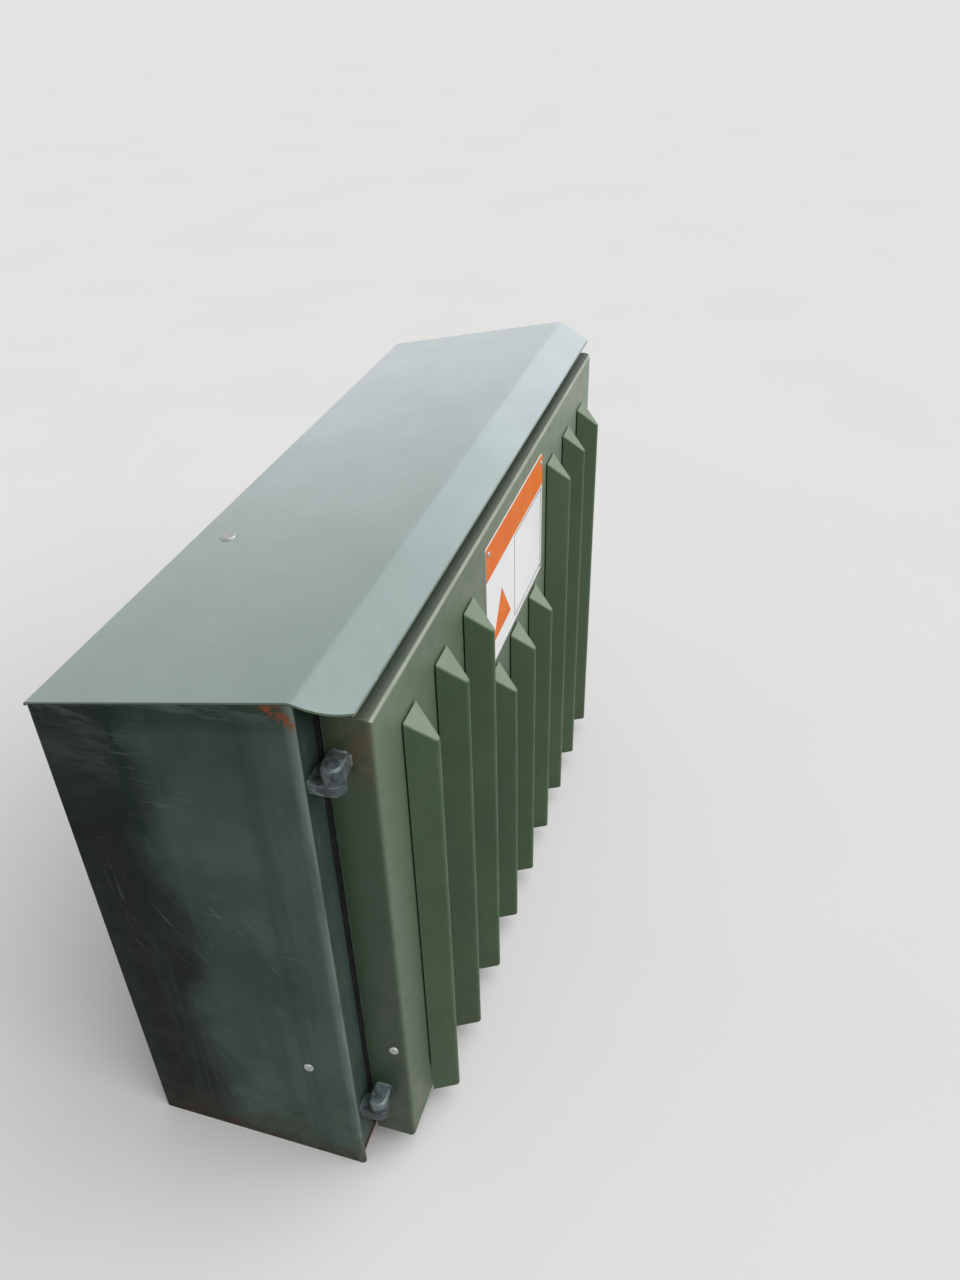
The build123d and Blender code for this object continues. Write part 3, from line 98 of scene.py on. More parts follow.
class FinishGraph:
    """The node tree of one finish, built round a single Principled shader."""

    def __init__(self, name: str) -> None:
        """Starts a tree with its shader, its output and the places on the object.

        Args:
            name: the material's name.
        """
        self.material = bpy.data.materials.new(name)
        self.material.use_nodes = True
        self.tree = self.material.node_tree
        self.tree.nodes.clear()
        self.shader = self.node("ShaderNodeBsdfPrincipled")
        output = self.node("ShaderNodeOutputMaterial")
        self.tree.links.new(self.shader.outputs["BSDF"], output.inputs["Surface"])
        source = self.node("ShaderNodeTexCoord")
        self.place = source.outputs["Object"]
        self.facing = source.outputs["Normal"]
        self.surface: Socket | None = None

    def node(self, kind: str, **settings: object) -> bpy.types.Node:
        """Adds one node.

        Args:
            kind: Blender's name for the node.
            settings: the node's own properties.

        Returns:
            The new node.
        """
        item = self.tree.nodes.new(kind)
        for name, value in settings.items():
            setattr(item, name, value)
        return item

    def feed(self, socket: Socket, value: object) -> None:
        """Joins an output to a socket, or writes a plain value on it.

        Args:
            socket: the input to fill.
            value: an output, or a number, vector or colour.
        """
        if isinstance(value, bpy.types.NodeSocket):
            self.tree.links.new(value, socket)
        else:
            socket.default_value = value

    def maths(self, operation: str, first: Value, second: Value = 0.0) -> Socket:
        """Works on one or two numbers.

        Args:
            operation: the Math node's operation.
            first: the first number or output.
            second: the second, where the operation has one.

        Returns:
            The result's output.
        """
        item = self.node("ShaderNodeMath", operation=operation)
        self.feed(item.inputs[0], first)
        self.feed(item.inputs[1], second)
        return item.outputs[0]

    def times(self, *values: Value) -> Socket:
        """Multiplies several shares.

        Args:
            values: the shares or their outputs.

        Returns:
            The product's output.
        """
        total = values[0]
        for value in values[1:]:
            total = self.maths("MULTIPLY", total, value)
        return total

    def most(self, *values: Value) -> Socket:
        """Finds the largest of several shares.

        Args:
            values: the shares or their outputs.

        Returns:
            The largest one's output.
        """
        total = values[0]
        for value in values[1:]:
            total = self.maths("MAXIMUM", total, value)
        return total

    def share(self, value: Value, start: float, end: float, low: float = 0.0, high: float = 1.0) -> Socket:
        """Turns a range of a number into a soft step.

        Args:
            value: the number to read.
            start: where the step begins.
            end: where it ends, which may be below start.
            low: the result at the start.
            high: the result at the end.

        Returns:
            The stepped output.
        """
        item = self.node("ShaderNodeMapRange", interpolation_type="SMOOTHSTEP")
        for index, number in enumerate((value, start, end, low, high)):
            self.feed(item.inputs[index], number)
        return item.outputs[0]

    def mix(self, share: Value, under: Tint, over: Tint) -> Socket:
        """Lays one colour over another.

        Args:
            share: how much of the upper colour covers.
            under: the lower colour or output.
            over: the upper colour or output.

        Returns:
            The mixed colour's output.
        """
        item = self.node("ShaderNodeMix", data_type="RGBA")
        for index, value in ((MIX_SHARE, share), (MIX_UNDER, under), (MIX_OVER, over)):
            self.feed(item.inputs[index], value)
        return item.outputs[MIX_RESULT]

    def axis(self, vector: Socket, index: int) -> Socket:
        """Reads one coordinate of a vector.

        Args:
            vector: the vector's output.
            index: 0, 1 or 2 for x, y or z.

        Returns:
            The coordinate's output.
        """
        item = self.node("ShaderNodeSeparateXYZ")
        self.feed(item.inputs[0], vector)
        return item.outputs[index]

    def stretched(self, stretch: Point, turn: Point = (0.0, 0.0, 0.0)) -> Socket:
        """Scales the places on the object along each axis, after a turn.

        Args:
            stretch: the scale along each axis.
            turn: the turn about each axis, in radians.

        Returns:
            The scaled places' output.
        """
        turned = self.node("ShaderNodeMapping", vector_type="POINT")
        self.feed(turned.inputs["Vector"], self.place)
        turned.inputs["Rotation"].default_value = turn
        item = self.node("ShaderNodeMapping", vector_type="POINT")
        self.feed(item.inputs["Vector"], turned.outputs[0])
        item.inputs["Scale"].default_value = stretch
        return item.outputs[0]

    def mottle(self, scale: float, detail: float = 3.0, roughness: float = 0.55,
               stretch: Point = (1.0, 1.0, 1.0), turn: Point = (0.0, 0.0, 0.0)) -> Socket:
        """Cloudy noise between 0 and 1.

        Args:
            scale: clouds in a metre.
            detail: octaves of finer cloud.
            roughness: the weight of the finer octaves.
            stretch: extra scale along each axis.
            turn: turn of the axes before they are stretched, in radians.

        Returns:
            The noise output.
        """
        item = self.node("ShaderNodeTexNoise")
        self.feed(item.inputs["Vector"], self.stretched(stretch, turn))
        item.inputs["Scale"].default_value = scale
        item.inputs["Detail"].default_value = detail
        item.inputs["Roughness"].default_value = roughness
        return item.outputs[0]

    def cells(self, scale: float) -> Socket:
        """Distances from the middles of a pattern of irregular cells.

        Args:
            scale: cells in a metre.

        Returns:
            The distance output.
        """
        item = self.node("ShaderNodeTexVoronoi", feature="F1")
        self.feed(item.inputs["Vector"], self.place)
        item.inputs["Scale"].default_value = scale
        return item.outputs["Distance"]

    def near(self, centre: Point, reach: float) -> Socket:
        """Finds what lies near a place on the object.

        Args:
            centre: the place.
            reach: the distance where the share has fallen to 0.

        Returns:
            An output that is 1 within a quarter of the reach.
        """
        item = self.node("ShaderNodeVectorMath", operation="DISTANCE")
        self.feed(item.inputs[0], self.place)
        item.inputs[1].default_value = centre
        return self.share(item.outputs["Value"], reach, 0.25 * reach)

    def outward(self, centre: Point) -> Socket:
        """Tells a sheet's outer face from its inner one.

        Args:
            centre: a place inside.

        Returns:
            An output that is 1 where the surface faces away from the centre, else 0.
        """
        offset = self.node("ShaderNodeVectorMath", operation="SUBTRACT")
        self.feed(offset.inputs[0], self.place)
        offset.inputs[1].default_value = centre
        item = self.node("ShaderNodeVectorMath", operation="DOT_PRODUCT")
        self.feed(item.inputs[0], offset.outputs[0])
        self.feed(item.inputs[1], self.facing)
        return self.maths("GREATER_THAN", item.outputs["Value"], 0.0)

    def corner(self, radius: float) -> Socket:
        """Finds sharp corners.

        Args:
            radius: how far a corner's edge reaches, in metres.

        Returns:
            An output that is 1 at a corner and 0 away from it.
        """
        rounded = self.node("ShaderNodeBevel", samples=4)
        rounded.inputs["Radius"].default_value = radius
        flat = self.node("ShaderNodeNewGeometry")
        item = self.node("ShaderNodeVectorMath", operation="DOT_PRODUCT")
        self.feed(item.inputs[0], rounded.outputs[0])
        self.feed(item.inputs[1], flat.outputs["Normal"])
        return self.share(item.outputs["Value"], *SHARP_CORNER)

    def raised(self, height: Socket, depth: float) -> None:
        """Adds relief to the surface.

        Args:
            height: the relief, from 0 to 1.
            depth: its height in metres.
        """
        item = self.node("ShaderNodeBump")
        item.inputs["Strength"].default_value = 1.0
        item.inputs["Distance"].default_value = depth
        self.feed(item.inputs["Height"], height)
        if self.surface is not None:
            self.feed(item.inputs["Normal"], self.surface)
        self.surface = item.outputs[0]

    def done(self, colour: Tint, roughness: Value, metallic: Value = 0.0, specular: float = 0.5,
             coat: float = 0.0, coat_roughness: float = 0.1) -> bpy.types.Material:
        """Joins the finished layers to the shader.

        Args:
            colour: the surface colour or its output.
            roughness: the roughness or its output.
            metallic: 1 for bare metal, or its output.
            specular: the strength of the plain reflection.
            coat: the share of clear gloss on top.
            coat_roughness: the roughness of that gloss.

        Returns:
            The material.
        """
        inputs = self.shader.inputs
        self.feed(inputs["Base Color"], colour)
        self.feed(inputs["Roughness"], roughness)
        self.feed(inputs["Metallic"], metallic)
        inputs["Specular IOR Level"].default_value = specular
        inputs["Coat Weight"].default_value = coat
        inputs["Coat Roughness"].default_value = coat_roughness
        if self.surface is not None:
            self.feed(inputs["Normal"], self.surface)
        return self.material


@dataclass(frozen=True)
class Weather:
    """How a painted sheet has weathered and how much painted sheen it takes: shares from 0 to 1, and depths
    and reaches in metres.
    """

    light: Colour = SHEET_GREEN
    dark: Colour = DEEP_GREEN
    even: float = 0.0
    # chalky film on what faces up, with the sky's painted sheen in it
    chalk_and_sheen: float = 0.0
    fade: float = 0.0
    grime: float = 0.0
    streaks: float = 0.0
    scuffs: float = 0.0
    splash: float = 0.0
    wear: float = 0.0
    rust: float = 0.0
    peel: float = 0.00006
    waves: float = 0.0007
    roughness: float = 0.42
    smoother: float = 0.04
    rougher: float = 0.08
    specular: float = 0.35
    gloss: float = 0.0
    gloss_roughness: float = 0.24
    splash_reach: Span = (0.02, 0.11)
    splash_fade: Span = (0.03, -0.05)


class Exposure(Enum):
    """Where a painted sheet stands on the cabinet."""

    ROOF = Weather(chalk_and_sheen=1.0, wear=0.3, peel=0.00022, roughness=0.27, specular=0.50, gloss=0.7)
    END = Weather(BLUE_GREEN, DARK_GREEN_AND_SHADE, even=0.45, chalk_and_sheen=0.2, streaks=0.5, scuffs=0.5, splash=0.8,
                  wear=0.7, rust=1.0, specular=0.07)
    BACK = Weather(BLUE_GREEN, DARK_GREEN_AND_SHADE, even=0.6, chalk_and_sheen=0.2, grime=0.2, streaks=0.9, scuffs=0.3,
                   splash=0.8, wear=0.3, specular=0.2)
    DOOR = Weather(chalk_and_sheen=0.55, fade=1.0, grime=0.15, streaks=0.3, scuffs=0.15, splash=0.5, wear=0.9,
                   rust=0.3)
    HOOD = Weather(even=0.25, chalk_and_sheen=0.95, grime=0.15, streaks=0.2, scuffs=0.15, splash=0.4, wear=0.15)
    INSIDE = Weather(grime=0.3, streaks=0.1, splash=0.2)


@dataclass(frozen=True)
class EndWall:
    """Where the end wall's tones lie.

    A pair runs from where a tone starts to where it is full, or from its least strength to its most.
    """

    face: float = -0.558
    back: float = 0.2075
    wander: Span = (-0.03, 0.03)
    rear_shade: Span = (0.045, 0.125)
    shade_top: Span = (0.72, 0.58)
    shade_strength: Span = (0.75, 1.0)
    roof_back: float = 0.762
    roof_slope: float = 0.21
    # the band of painted shade under the roof, and its pale upper edge
    band: Span = (0.045, 0.020)
    band_edge: Span = (0.040, 0.012)
    rubbed_patch: Point = (-0.558, 0.155, 0.715)
    patch_reach: float = 0.09
    drip: float = 0.108
    drip_weave: Span = (-0.006, 0.006)
    drip_width: Span = (0.010, 0.003)
    drip_foot: Span = (0.50, 0.64)
    # the painted highlight on the front fold and the painted shade on the front flange
    fold: Span = (-0.096, -0.107)
    fold_turn: Span = (-0.99, -0.85)
    flange_turn: Span = (-0.90, -0.99)
    flange_height: Span = (0.35, 0.75)
    flange_strength: Span = (0.25, 0.60)
    rust_run: tuple[Point, ...] = (
        (-0.076, 0.821, 0.010), (-0.088, 0.814, 0.013), (-0.100, 0.806, 0.012), (-0.106, 0.799, 0.008),
    )
    rusted_foot: Span = (0.035, 0.008)


@dataclass(frozen=True)
class DoorSheet:
    """Where the door's tones lie, in pairs like those of the end wall."""

    face_turn: Span = (-0.35, -0.95)
    fade_height: Span = (0.10, 0.75)
    fade_strength: Span = (0.46, 0.84)
    fade_along: Span = (-0.3, 0.5)
    # painted light on the door's top bend: where the painted highlight line and the painted roof shadow lie
    bend_height: Span = (0.770, 0.776)
    highlight_rise: Span = (0.28, 0.50)
    highlight_fall: Span = (0.86, 0.66)
    shadow_rise: Span = (0.72, 0.88)
    rubbed_corner: Point = (-0.522, -0.168, 0.745)
    corner_reach: float = 0.060
    corner_turn: Span = (-0.95, -0.60)


@dataclass(frozen=True)
class RoofSheet:
    """Where the roof's chalky film turns paler and bluer, a painted sky reflection, in pairs like those of
    the end wall.
    """

    paler_along: Span = (-0.60, 0.64)
    band_turn: Span = (-0.05, -0.35)
    band_strength: Span = (0.0, 0.10)


class PaintCoat:
    """The coat on one painted sheet, built up from the powder coat outwards, with painted light and shade
    among its layers.
    """

    def __init__(self, exposure: Exposure, centre: Point) -> None:
        """Starts the coat with its cloudy green.

        Args:
            exposure: where the sheet stands.
            centre: a place inside, to tell the sheet's outer face from its inner one.
        """
        self.exposure = exposure
        self.weather: Weather = exposure.value
        self.graph = FinishGraph(f"green_paint_{exposure.name.lower()}")
        self.outside = self.graph.outward(centre)
        self.along, self.depth, self.height = (self.graph.axis(self.graph.place, index) for index in range(3))
        self.front, self.rise = (self.graph.axis(self.graph.facing, index) for index in (1, 2))
        clouds = self.graph.share(self.graph.mottle(4.0, 4.0, 0.6), 0.30, 0.70, self.weather.even, 1.0)
        self.colour = self.graph.mix(clouds, self.weather.dark, self.weather.light)

    def lay(self, share: Value, over: Tint) -> None:
        """Lays a colour over the coat by a share."""
        self.colour = self.graph.mix(share, self.colour, over)

    def age(self) -> None:
        """Lays every layer that the sheet's place calls for, in their order."""
        weather, exposure = self.weather, self.exposure
        for wanted, layer in (
            (weather.fade, self.fade_door),
            (exposure is Exposure.HOOD, self.fade_hood),
            (weather.grime, self.soil_lightly),
            (exposure is Exposure.END, self.shade_end_wall),
            (weather.chalk_and_sheen, self.chalk_and_sheen_on_top),
            (exposure is Exposure.ROOF, self.mark_roof),
            (weather.fade, self.paint_light_on_top_bend),
            (weather.streaks, self.streak),
            (weather.scuffs, self.scuff),
            (weather.splash, self.splash_foot),
            (weather.wear, self.wear_corners),
            (weather.rust, self.rust),
        ):
            if wanted:
                layer()

    def fade_door(self) -> None:
        """Fades the face of the door, more towards its top and its lock end, and greys its sides."""
        graph, door = self.graph, DoorSheet()
        self.lay(0.6, SIDE_GREY)
        face = graph.share(self.front, *door.face_turn)
        higher = graph.share(self.height, *door.fade_height, *door.fade_strength)
        cloudy = graph.share(graph.mottle(6.0, 4.0, 0.6), 0.25, 0.75, 0.85, 1.0)
        film = graph.mix(graph.share(self.along, *door.fade_along), FADED_GREEN, FADE_AND_TOP_SHEEN)
        self.lay(graph.times(face, higher, cloudy, self.weather.fade), film)

    def fade_hood(self) -> None:
        """Fades the hoods a little towards the lock end."""
        self.lay(self.graph.share(self.along, -0.40, 0.50, 0.0, 0.24), FADED_GREEN)

    def soil_lightly(self) -> None:
        """Adds broad clouds of thin dirt."""
        dirt = self.graph.share(self.graph.mottle(2.2, 3.0), 0.42, 0.62)
        self.lay(self.graph.times(dirt, self.weather.grime, self.outside), self.weather.dark)

    def wander(self, wall: EndWall) -> Socket:
        """A slow unevenness in where the end wall's tones lie."""
        return self.graph.share(self.graph.mottle(7.0, 4.0, 0.6), 0.2, 0.8, *wall.wander)

    def shade_end_wall(self) -> None:
        """Lays the end wall's broad tones, from its back edge to its front flange."""
        wall = EndWall()
        self.shade_rear(wall)
        self.mark_under_roof(wall)
        self.mark_drip(wall)
        self.mark_front_fold(wall)

    def shade_rear(self, wall: EndWall) -> None:
        """Darkens the rear of the end wall.

        Args:
            wall: where its tones lie.
        """
        graph, wander = self.graph, self.wander(wall)
        rear = graph.share(graph.maths("ADD", self.depth, wander), *wall.rear_shade)
        low = graph.share(graph.maths("ADD", self.height, wander), *wall.shade_top, *wall.shade_strength)
        self.lay(graph.times(rear, low), REAR_SHADE)

    def mark_under_roof(self, wall: EndWall) -> None:
        """Adds painted shade in a band under the roof, with a rubbed patch and a pale upper edge.

        Args:
            wall: where its tones lie.
        """
        graph = self.graph
        smears = graph.share(graph.mottle(1.0, 4.0, 0.65, (30.0, 9.0, 60.0)), 0.42, 0.66)
        patch = graph.near(wall.rubbed_patch, wall.patch_reach)
        self.lay(graph.times(patch, smears, 0.15), RUB_AND_HIGHLIGHT)
        slope = graph.maths("MULTIPLY", graph.maths("SUBTRACT", wall.back, self.depth), wall.roof_slope)
        below = graph.maths("SUBTRACT", graph.maths("ADD", slope, wall.roof_back), self.height)
        # painted shade of the roof's overhang
        band = graph.share(graph.maths("ADD", below, graph.times(self.wander(wall), 0.25)), *wall.band)
        self.lay(graph.times(band, 0.50), DARK_GREEN_AND_SHADE)
        edge = graph.times(graph.share(below, *wall.band_edge), graph.share(smears, 0.2, 0.9), 0.30)
        self.lay(edge, RUB_AND_HIGHLIGHT)

    def mark_drip(self, wall: EndWall) -> None:
        """Adds the dark line that rain has left below the roof.

        Args:
            wall: where its tones lie.
        """
        graph = self.graph
        weave = graph.share(graph.mottle(14.0, 2.0), 0.3, 0.7, *wall.drip_weave)
        aside = graph.maths("ADD", graph.maths("SUBTRACT", self.depth, wall.drip), weave)
        run = graph.times(graph.share(graph.maths("ABSOLUTE", aside), *wall.drip_width),
                          graph.share(self.height, *wall.drip_foot))
        self.lay(graph.times(run, 0.8), DARK_GREEN_AND_SHADE)

    def mark_front_fold(self, wall: EndWall) -> None:
        """Paints a pale highlight along the front fold and painted shade on the flange that faces the front.

        Args:
            wall: where its tones lie.
        """
        graph = self.graph
        # painted highlight along the front fold, broken up by noise
        rubbed = graph.share(graph.mottle(1.0, 4.0, 0.6, (60.0, 60.0, 9.0)), 0.25, 0.65, 0.25, 1.0)
        fold = graph.times(graph.share(self.depth, *wall.fold), graph.share(self.front, *wall.fold_turn),
                           rubbed)
        self.lay(fold, RUB_AND_HIGHLIGHT)
        # painted shade on the flange in the gap beside the door
        flange = graph.times(graph.share(self.front, *wall.flange_turn),
                             graph.share(self.height, *wall.flange_height, *wall.flange_strength))
        self.lay(flange, DARK_GREEN_AND_SHADE)

    def top_chalk_and_sheen(self) -> Tint:
        """The colour of the chalky film on what faces up, with the sky's painted sheen in it.

        Returns:
            The colour or its output; the roof is paler and bluer at its lock end and on its front band,
            painted sky reflection.
        """
        if self.exposure is Exposure.ROOF:
            graph, roof = self.graph, RoofSheet()
            # paler, bluish film towards the lock end and on the front band: painted sky reflection
            along = graph.share(self.along, *roof.paler_along)
            band = graph.share(self.front, *roof.band_turn, *roof.band_strength)
            return graph.mix(graph.maths("ADD", along, band), CHALK_AND_SHEEN_GREEN, PALE_CHALK_AND_SKY_SHEEN)
        return FADE_AND_TOP_SHEEN if self.exposure in (Exposure.DOOR, Exposure.HOOD) else CHALK_AND_SHEEN_GREEN

    def chalk_and_sheen_on_top(self) -> None:
        """Lays a chalky film on what faces up, fuller the more the surface faces up; it also paints the sky's
        sheen on the tops.
        """
        graph = self.graph
        # lighter the more the surface faces up: chalky film with painted sky sheen
        upward = graph.share(self.rise, 0.10, 0.92)
        film = graph.share(graph.mottle(9.0, 5.0, 0.6), 0.25, 0.80, 0.86, 1.0)
        self.lay(graph.times(upward, film, self.outside, self.weather.chalk_and_sheen), self.top_chalk_and_sheen())

    def mark_roof(self) -> None:
        """Adds the roof's fine pits, pale marks and settled dust."""
        graph = self.graph
        for share, strength, colour in (
            (graph.share(graph.mottle(150.0, 2.0, 0.5), 0.62, 0.76), 0.12, SHEET_GREEN),
            (graph.share(graph.cells(26.0), 0.07, 0.02), 0.40, PALE_MARK),
            (graph.share(graph.mottle(3.2, 5.0, 0.65), 0.50, 0.75), 0.08, DUST),
        ):
            self.lay(graph.times(share, strength, self.outside), colour)

    def paint_light_on_top_bend(self) -> None:
        """Paints the roof's shadow on the crown of the door's top bend and a highlight line below it."""
        graph, door = self.graph, DoorSheet()
        high = graph.share(self.height, *door.bend_height)
        # painted highlight line along the bend, uneven in strength
        line = graph.times(graph.share(self.rise, *door.highlight_rise), graph.share(self.rise, *door.highlight_fall),
                           high)
        uneven = graph.share(graph.mottle(1.0, 3.0, 0.6, (14.0, 60.0, 60.0)), 0.25, 0.70, 0.45, 0.95)
        self.lay(graph.times(line, uneven, 0.75), PAINTED_HIGHLIGHT)
        # painted shadow of the roof's edge on the crown of the bend
        painted_shadow = graph.times(graph.share(self.rise, *door.shadow_rise), high)
        self.lay(graph.times(painted_shadow, 0.85), PAINTED_SHADOW_GREEN)

    def streak(self) -> None:
        """Adds upright runs left by rain, pale and dark."""
        graph = self.graph
        pale = graph.share(graph.mottle(1.0, 4.0, 0.6, (42.0, 42.0, 1.6)), 0.54, 0.72)
        self.lay(graph.times(pale, 0.16, self.weather.streaks, self.outside), RUB_AND_HIGHLIGHT)
        dark = graph.share(graph.mottle(1.0, 4.0, 0.6, (26.0, 26.0, 1.1), (0.0, 0.0, 0.7)), 0.55, 0.70)
        self.lay(graph.times(dark, 0.45, self.weather.streaks, self.outside), self.weather.dark)

    def scuff(self) -> None:
        """Adds short rubbed lines in loose groups, level, upright and slanting."""
        graph = self.graph
        for scale, stretch, turn in (
            (5.5, (60.0, 16.0, 330.0), (0.04, 0.0, 0.0)), (4.0, (60.0, 330.0, 14.0), (0.05, 0.0, 0.0)),
            (6.5, (60.0, 280.0, 22.0), (0.55, 0.0, 0.0)),
        ):
            groups = graph.share(graph.mottle(scale, 2.0), 0.54, 0.66)
            lines = graph.share(graph.mottle(1.0, 2.0, 0.5, stretch, turn), 0.62, 0.70)
            self.lay(graph.times(lines, groups, 0.55, self.weather.scuffs, self.outside), RUB_AND_HIGHLIGHT)

    def splash_foot(self) -> None:
        """Adds the soil that rain has splashed on the foot of the sheet."""
        graph, weather = self.graph, self.weather
        reach = graph.share(graph.mottle(26.0, 4.0, 0.65), 0.30, 0.70, *weather.splash_reach)
        foot = graph.share(graph.maths("SUBTRACT", self.height, reach), *weather.splash_fade)
        self.lay(graph.times(foot, 0.60, weather.splash), SOIL)

    def wear_corners(self) -> None:
        """Rubs the paint through at sharp corners, most at the door's upper corner by the hinge."""
        graph = self.graph
        broken = graph.share(graph.mottle(55.0, 4.0, 0.65), 0.40, 0.60)
        edge = graph.times(graph.corner(0.0045), broken, self.weather.wear, self.outside)
        self.lay(graph.times(edge, 0.50), RUB_AND_HIGHLIGHT)
        through = graph.share(graph.mottle(30.0, 4.0, 0.6), 0.56, 0.66)
        self.lay(graph.times(edge, through, 0.8), PRIMER_BROWN)
        if self.exposure is Exposure.DOOR:
            door = DoorSheet()
            corner = graph.times(graph.near(door.rubbed_corner, door.corner_reach),
                                 graph.share(self.front, *door.corner_turn),
                                 graph.share(graph.mottle(48.0, 5.0, 0.7), 0.35, 0.60))
            self.lay(graph.times(corner, 0.7), PRIMER_BROWN)

    def rust(self) -> None:
        """Adds one rust run near the top front corner, and a dark foot."""
        graph, wall, strength = self.graph, EndWall(), self.weather.rust
        bloom = graph.most(*(graph.near((wall.face, y, z), reach) for y, z, reach in wall.rust_run))
        flakes = graph.share(graph.mottle(170.0, 5.0, 0.75), 0.42, 0.54)
        self.lay(graph.times(bloom, flakes, strength, self.outside), RUST)
        foot = graph.share(self.height, *wall.rusted_foot)
        crust = graph.share(graph.mottle(60.0, 4.0, 0.7), 0.45, 0.6)
        self.lay(graph.times(foot, crust, 0.7, strength), DARK_RUST)

    def material(self) -> bpy.types.Material:
        """Adds the coat's orange peel, waves and gloss.

        Returns:
            The material.
        """
        graph, weather = self.graph, self.weather
        graph.raised(graph.mottle(230.0, 2.0, 0.45), weather.peel)
        graph.raised(graph.mottle(13.0, 1.0, 0.4), weather.waves)
        rough = graph.share(graph.mottle(40.0, 3.0), 0.3, 0.7, weather.roughness - weather.smoother,
                            weather.roughness + weather.rougher)
        return graph.done(self.colour, rough, specular=weather.specular, coat=weather.gloss,
                          coat_roughness=weather.gloss_roughness)


@dataclass(frozen=True)
class GreenPaint:
    """Dark green powder coat over sheet steel, weathered by where it stands, with painted light and shade."""

    exposure: Exposure
    centre: Point = BODY_CENTRE

    def make(self) -> bpy.types.Material:
        """Builds the coat, ages it and paints its light and shade.

        Returns:
            The material.
        """
        coat = PaintCoat(self.exposure, self.centre)
        coat.age()
        return coat.material()


@dataclass(frozen=True)
class RustedSteel:
    """Bare mill steel that has rusted all over, flaking and crusted with soil."""

    soil_height: float = 0.03
    brown: Colour = (0.110, 0.042, 0.020, 1.0)
    mill_scale: Colour = (0.035, 0.030, 0.028, 1.0)

    def make(self) -> bpy.types.Material:
        """Builds the rust: brown layers, orange bloom, dark scale and soil.

        Returns:
            The material.
        """
        graph = FinishGraph("rusted_steel")
        layers = graph.share(graph.mottle(28.0, 6.0, 0.7), 0.35, 0.65)
        colour = graph.mix(layers, DARK_RUST, self.brown)
        bloom = graph.share(graph.mottle(75.0, 5.0, 0.7), 0.52, 0.68)
        colour = graph.mix(graph.times(bloom, 0.8), colour, RUST)
        scale = graph.share(graph.mottle(16.0, 3.0), 0.60, 0.66)
        colour = graph.mix(graph.times(scale, 0.8), colour, self.mill_scale)
        foot = graph.share(graph.axis(graph.place, 2), self.soil_height, 0.0)
        colour = graph.mix(graph.times(foot, 0.5), colour, SOIL)
        graph.raised(graph.mottle(160.0, 5.0, 0.7), 0.0006)
        graph.raised(scale, 0.0004)
        return graph.done(colour, roughness=0.85, specular=0.25)


@dataclass(frozen=True)
class HingeCasting:
    """Blue-grey cast steel of the hinges, sandy, scratched and dirty."""

    hollow: Colour = (0.034, 0.044, 0.046, 1.0)
    steel: Colour = (0.092, 0.116, 0.122, 1.0)
    patch: Colour = (0.175, 0.215, 0.215, 1.0)
    dust: Colour = (0.240, 0.290, 0.300, 1.0)
    bare: Colour = (0.400, 0.420, 0.420, 1.0)

    def make(self) -> bpy.types.Material:
        """Builds the casting: sandy grain, dark hollows, bright corners and dust.

        Returns:
            The material.
        """
        graph = FinishGraph("hinge_casting")
        colour = graph.mix(graph.share(graph.mottle(60.0, 4.0, 0.65), 0.35, 0.65), self.hollow, self.steel)
        patches = graph.share(graph.mottle(38.0, 3.0), 0.52, 0.60)
        colour = graph.mix(graph.times(patches, 0.65), colour, self.patch)
        dust = graph.times(graph.share(graph.axis(graph.facing, 2), 0.2, 0.9),
                           graph.share(graph.mottle(90.0, 4.0), 0.40, 0.60))
        colour = graph.mix(graph.times(dust, 0.45), colour, self.dust)
        corner = graph.times(graph.corner(0.0020), graph.share(graph.mottle(120.0, 3.0), 0.4, 0.6))
        colour = graph.mix(graph.times(corner, 0.8), colour, self.bare)
        graph.raised(graph.mottle(520.0, 4.0, 0.6), 0.00025)
        graph.raised(graph.mottle(110.0, 3.0, 0.6), 0.00040)
        return graph.done(colour, graph.share(graph.mottle(70.0), 0.3, 0.7, 0.42, 0.66), 0.55)


@dataclass(frozen=True)
class BrightFastener:
    """Bright steel of pins, rivets, screws and the lock, dulled by weather."""

    name: str
    dulled: float = 0.5
    metallic: float = 1.0
    grey: Colour = (0.400, 0.410, 0.410, 1.0)
    bright: Colour = (0.580, 0.590, 0.580, 1.0)
    tarnish: Colour = (0.160, 0.170, 0.160, 1.0)

    def make(self) -> bpy.types.Material:
        """Builds the metal: brushed grain and grey tarnish.

        Returns:
            The material.
        """
        graph = FinishGraph(self.name)
        brushed = graph.mottle(1.0, 3.0, 0.6, (900.0, 900.0, 120.0))
        colour = graph.mix(graph.share(brushed, 0.3, 0.7), self.grey, self.bright)
        tarnish = graph.share(graph.mottle(160.0, 4.0, 0.65), 0.45, 0.65)
        colour = graph.mix(graph.times(tarnish, self.dulled), colour, self.tarnish)
        graph.raised(graph.mottle(700.0, 3.0), 0.00006)
        rough = graph.share(tarnish, 0.0, 1.0, 0.28, 0.62)
        return graph.done(colour, rough, graph.share(tarnish, 0.0, 1.0, self.metallic, 0.55 * self.metallic))


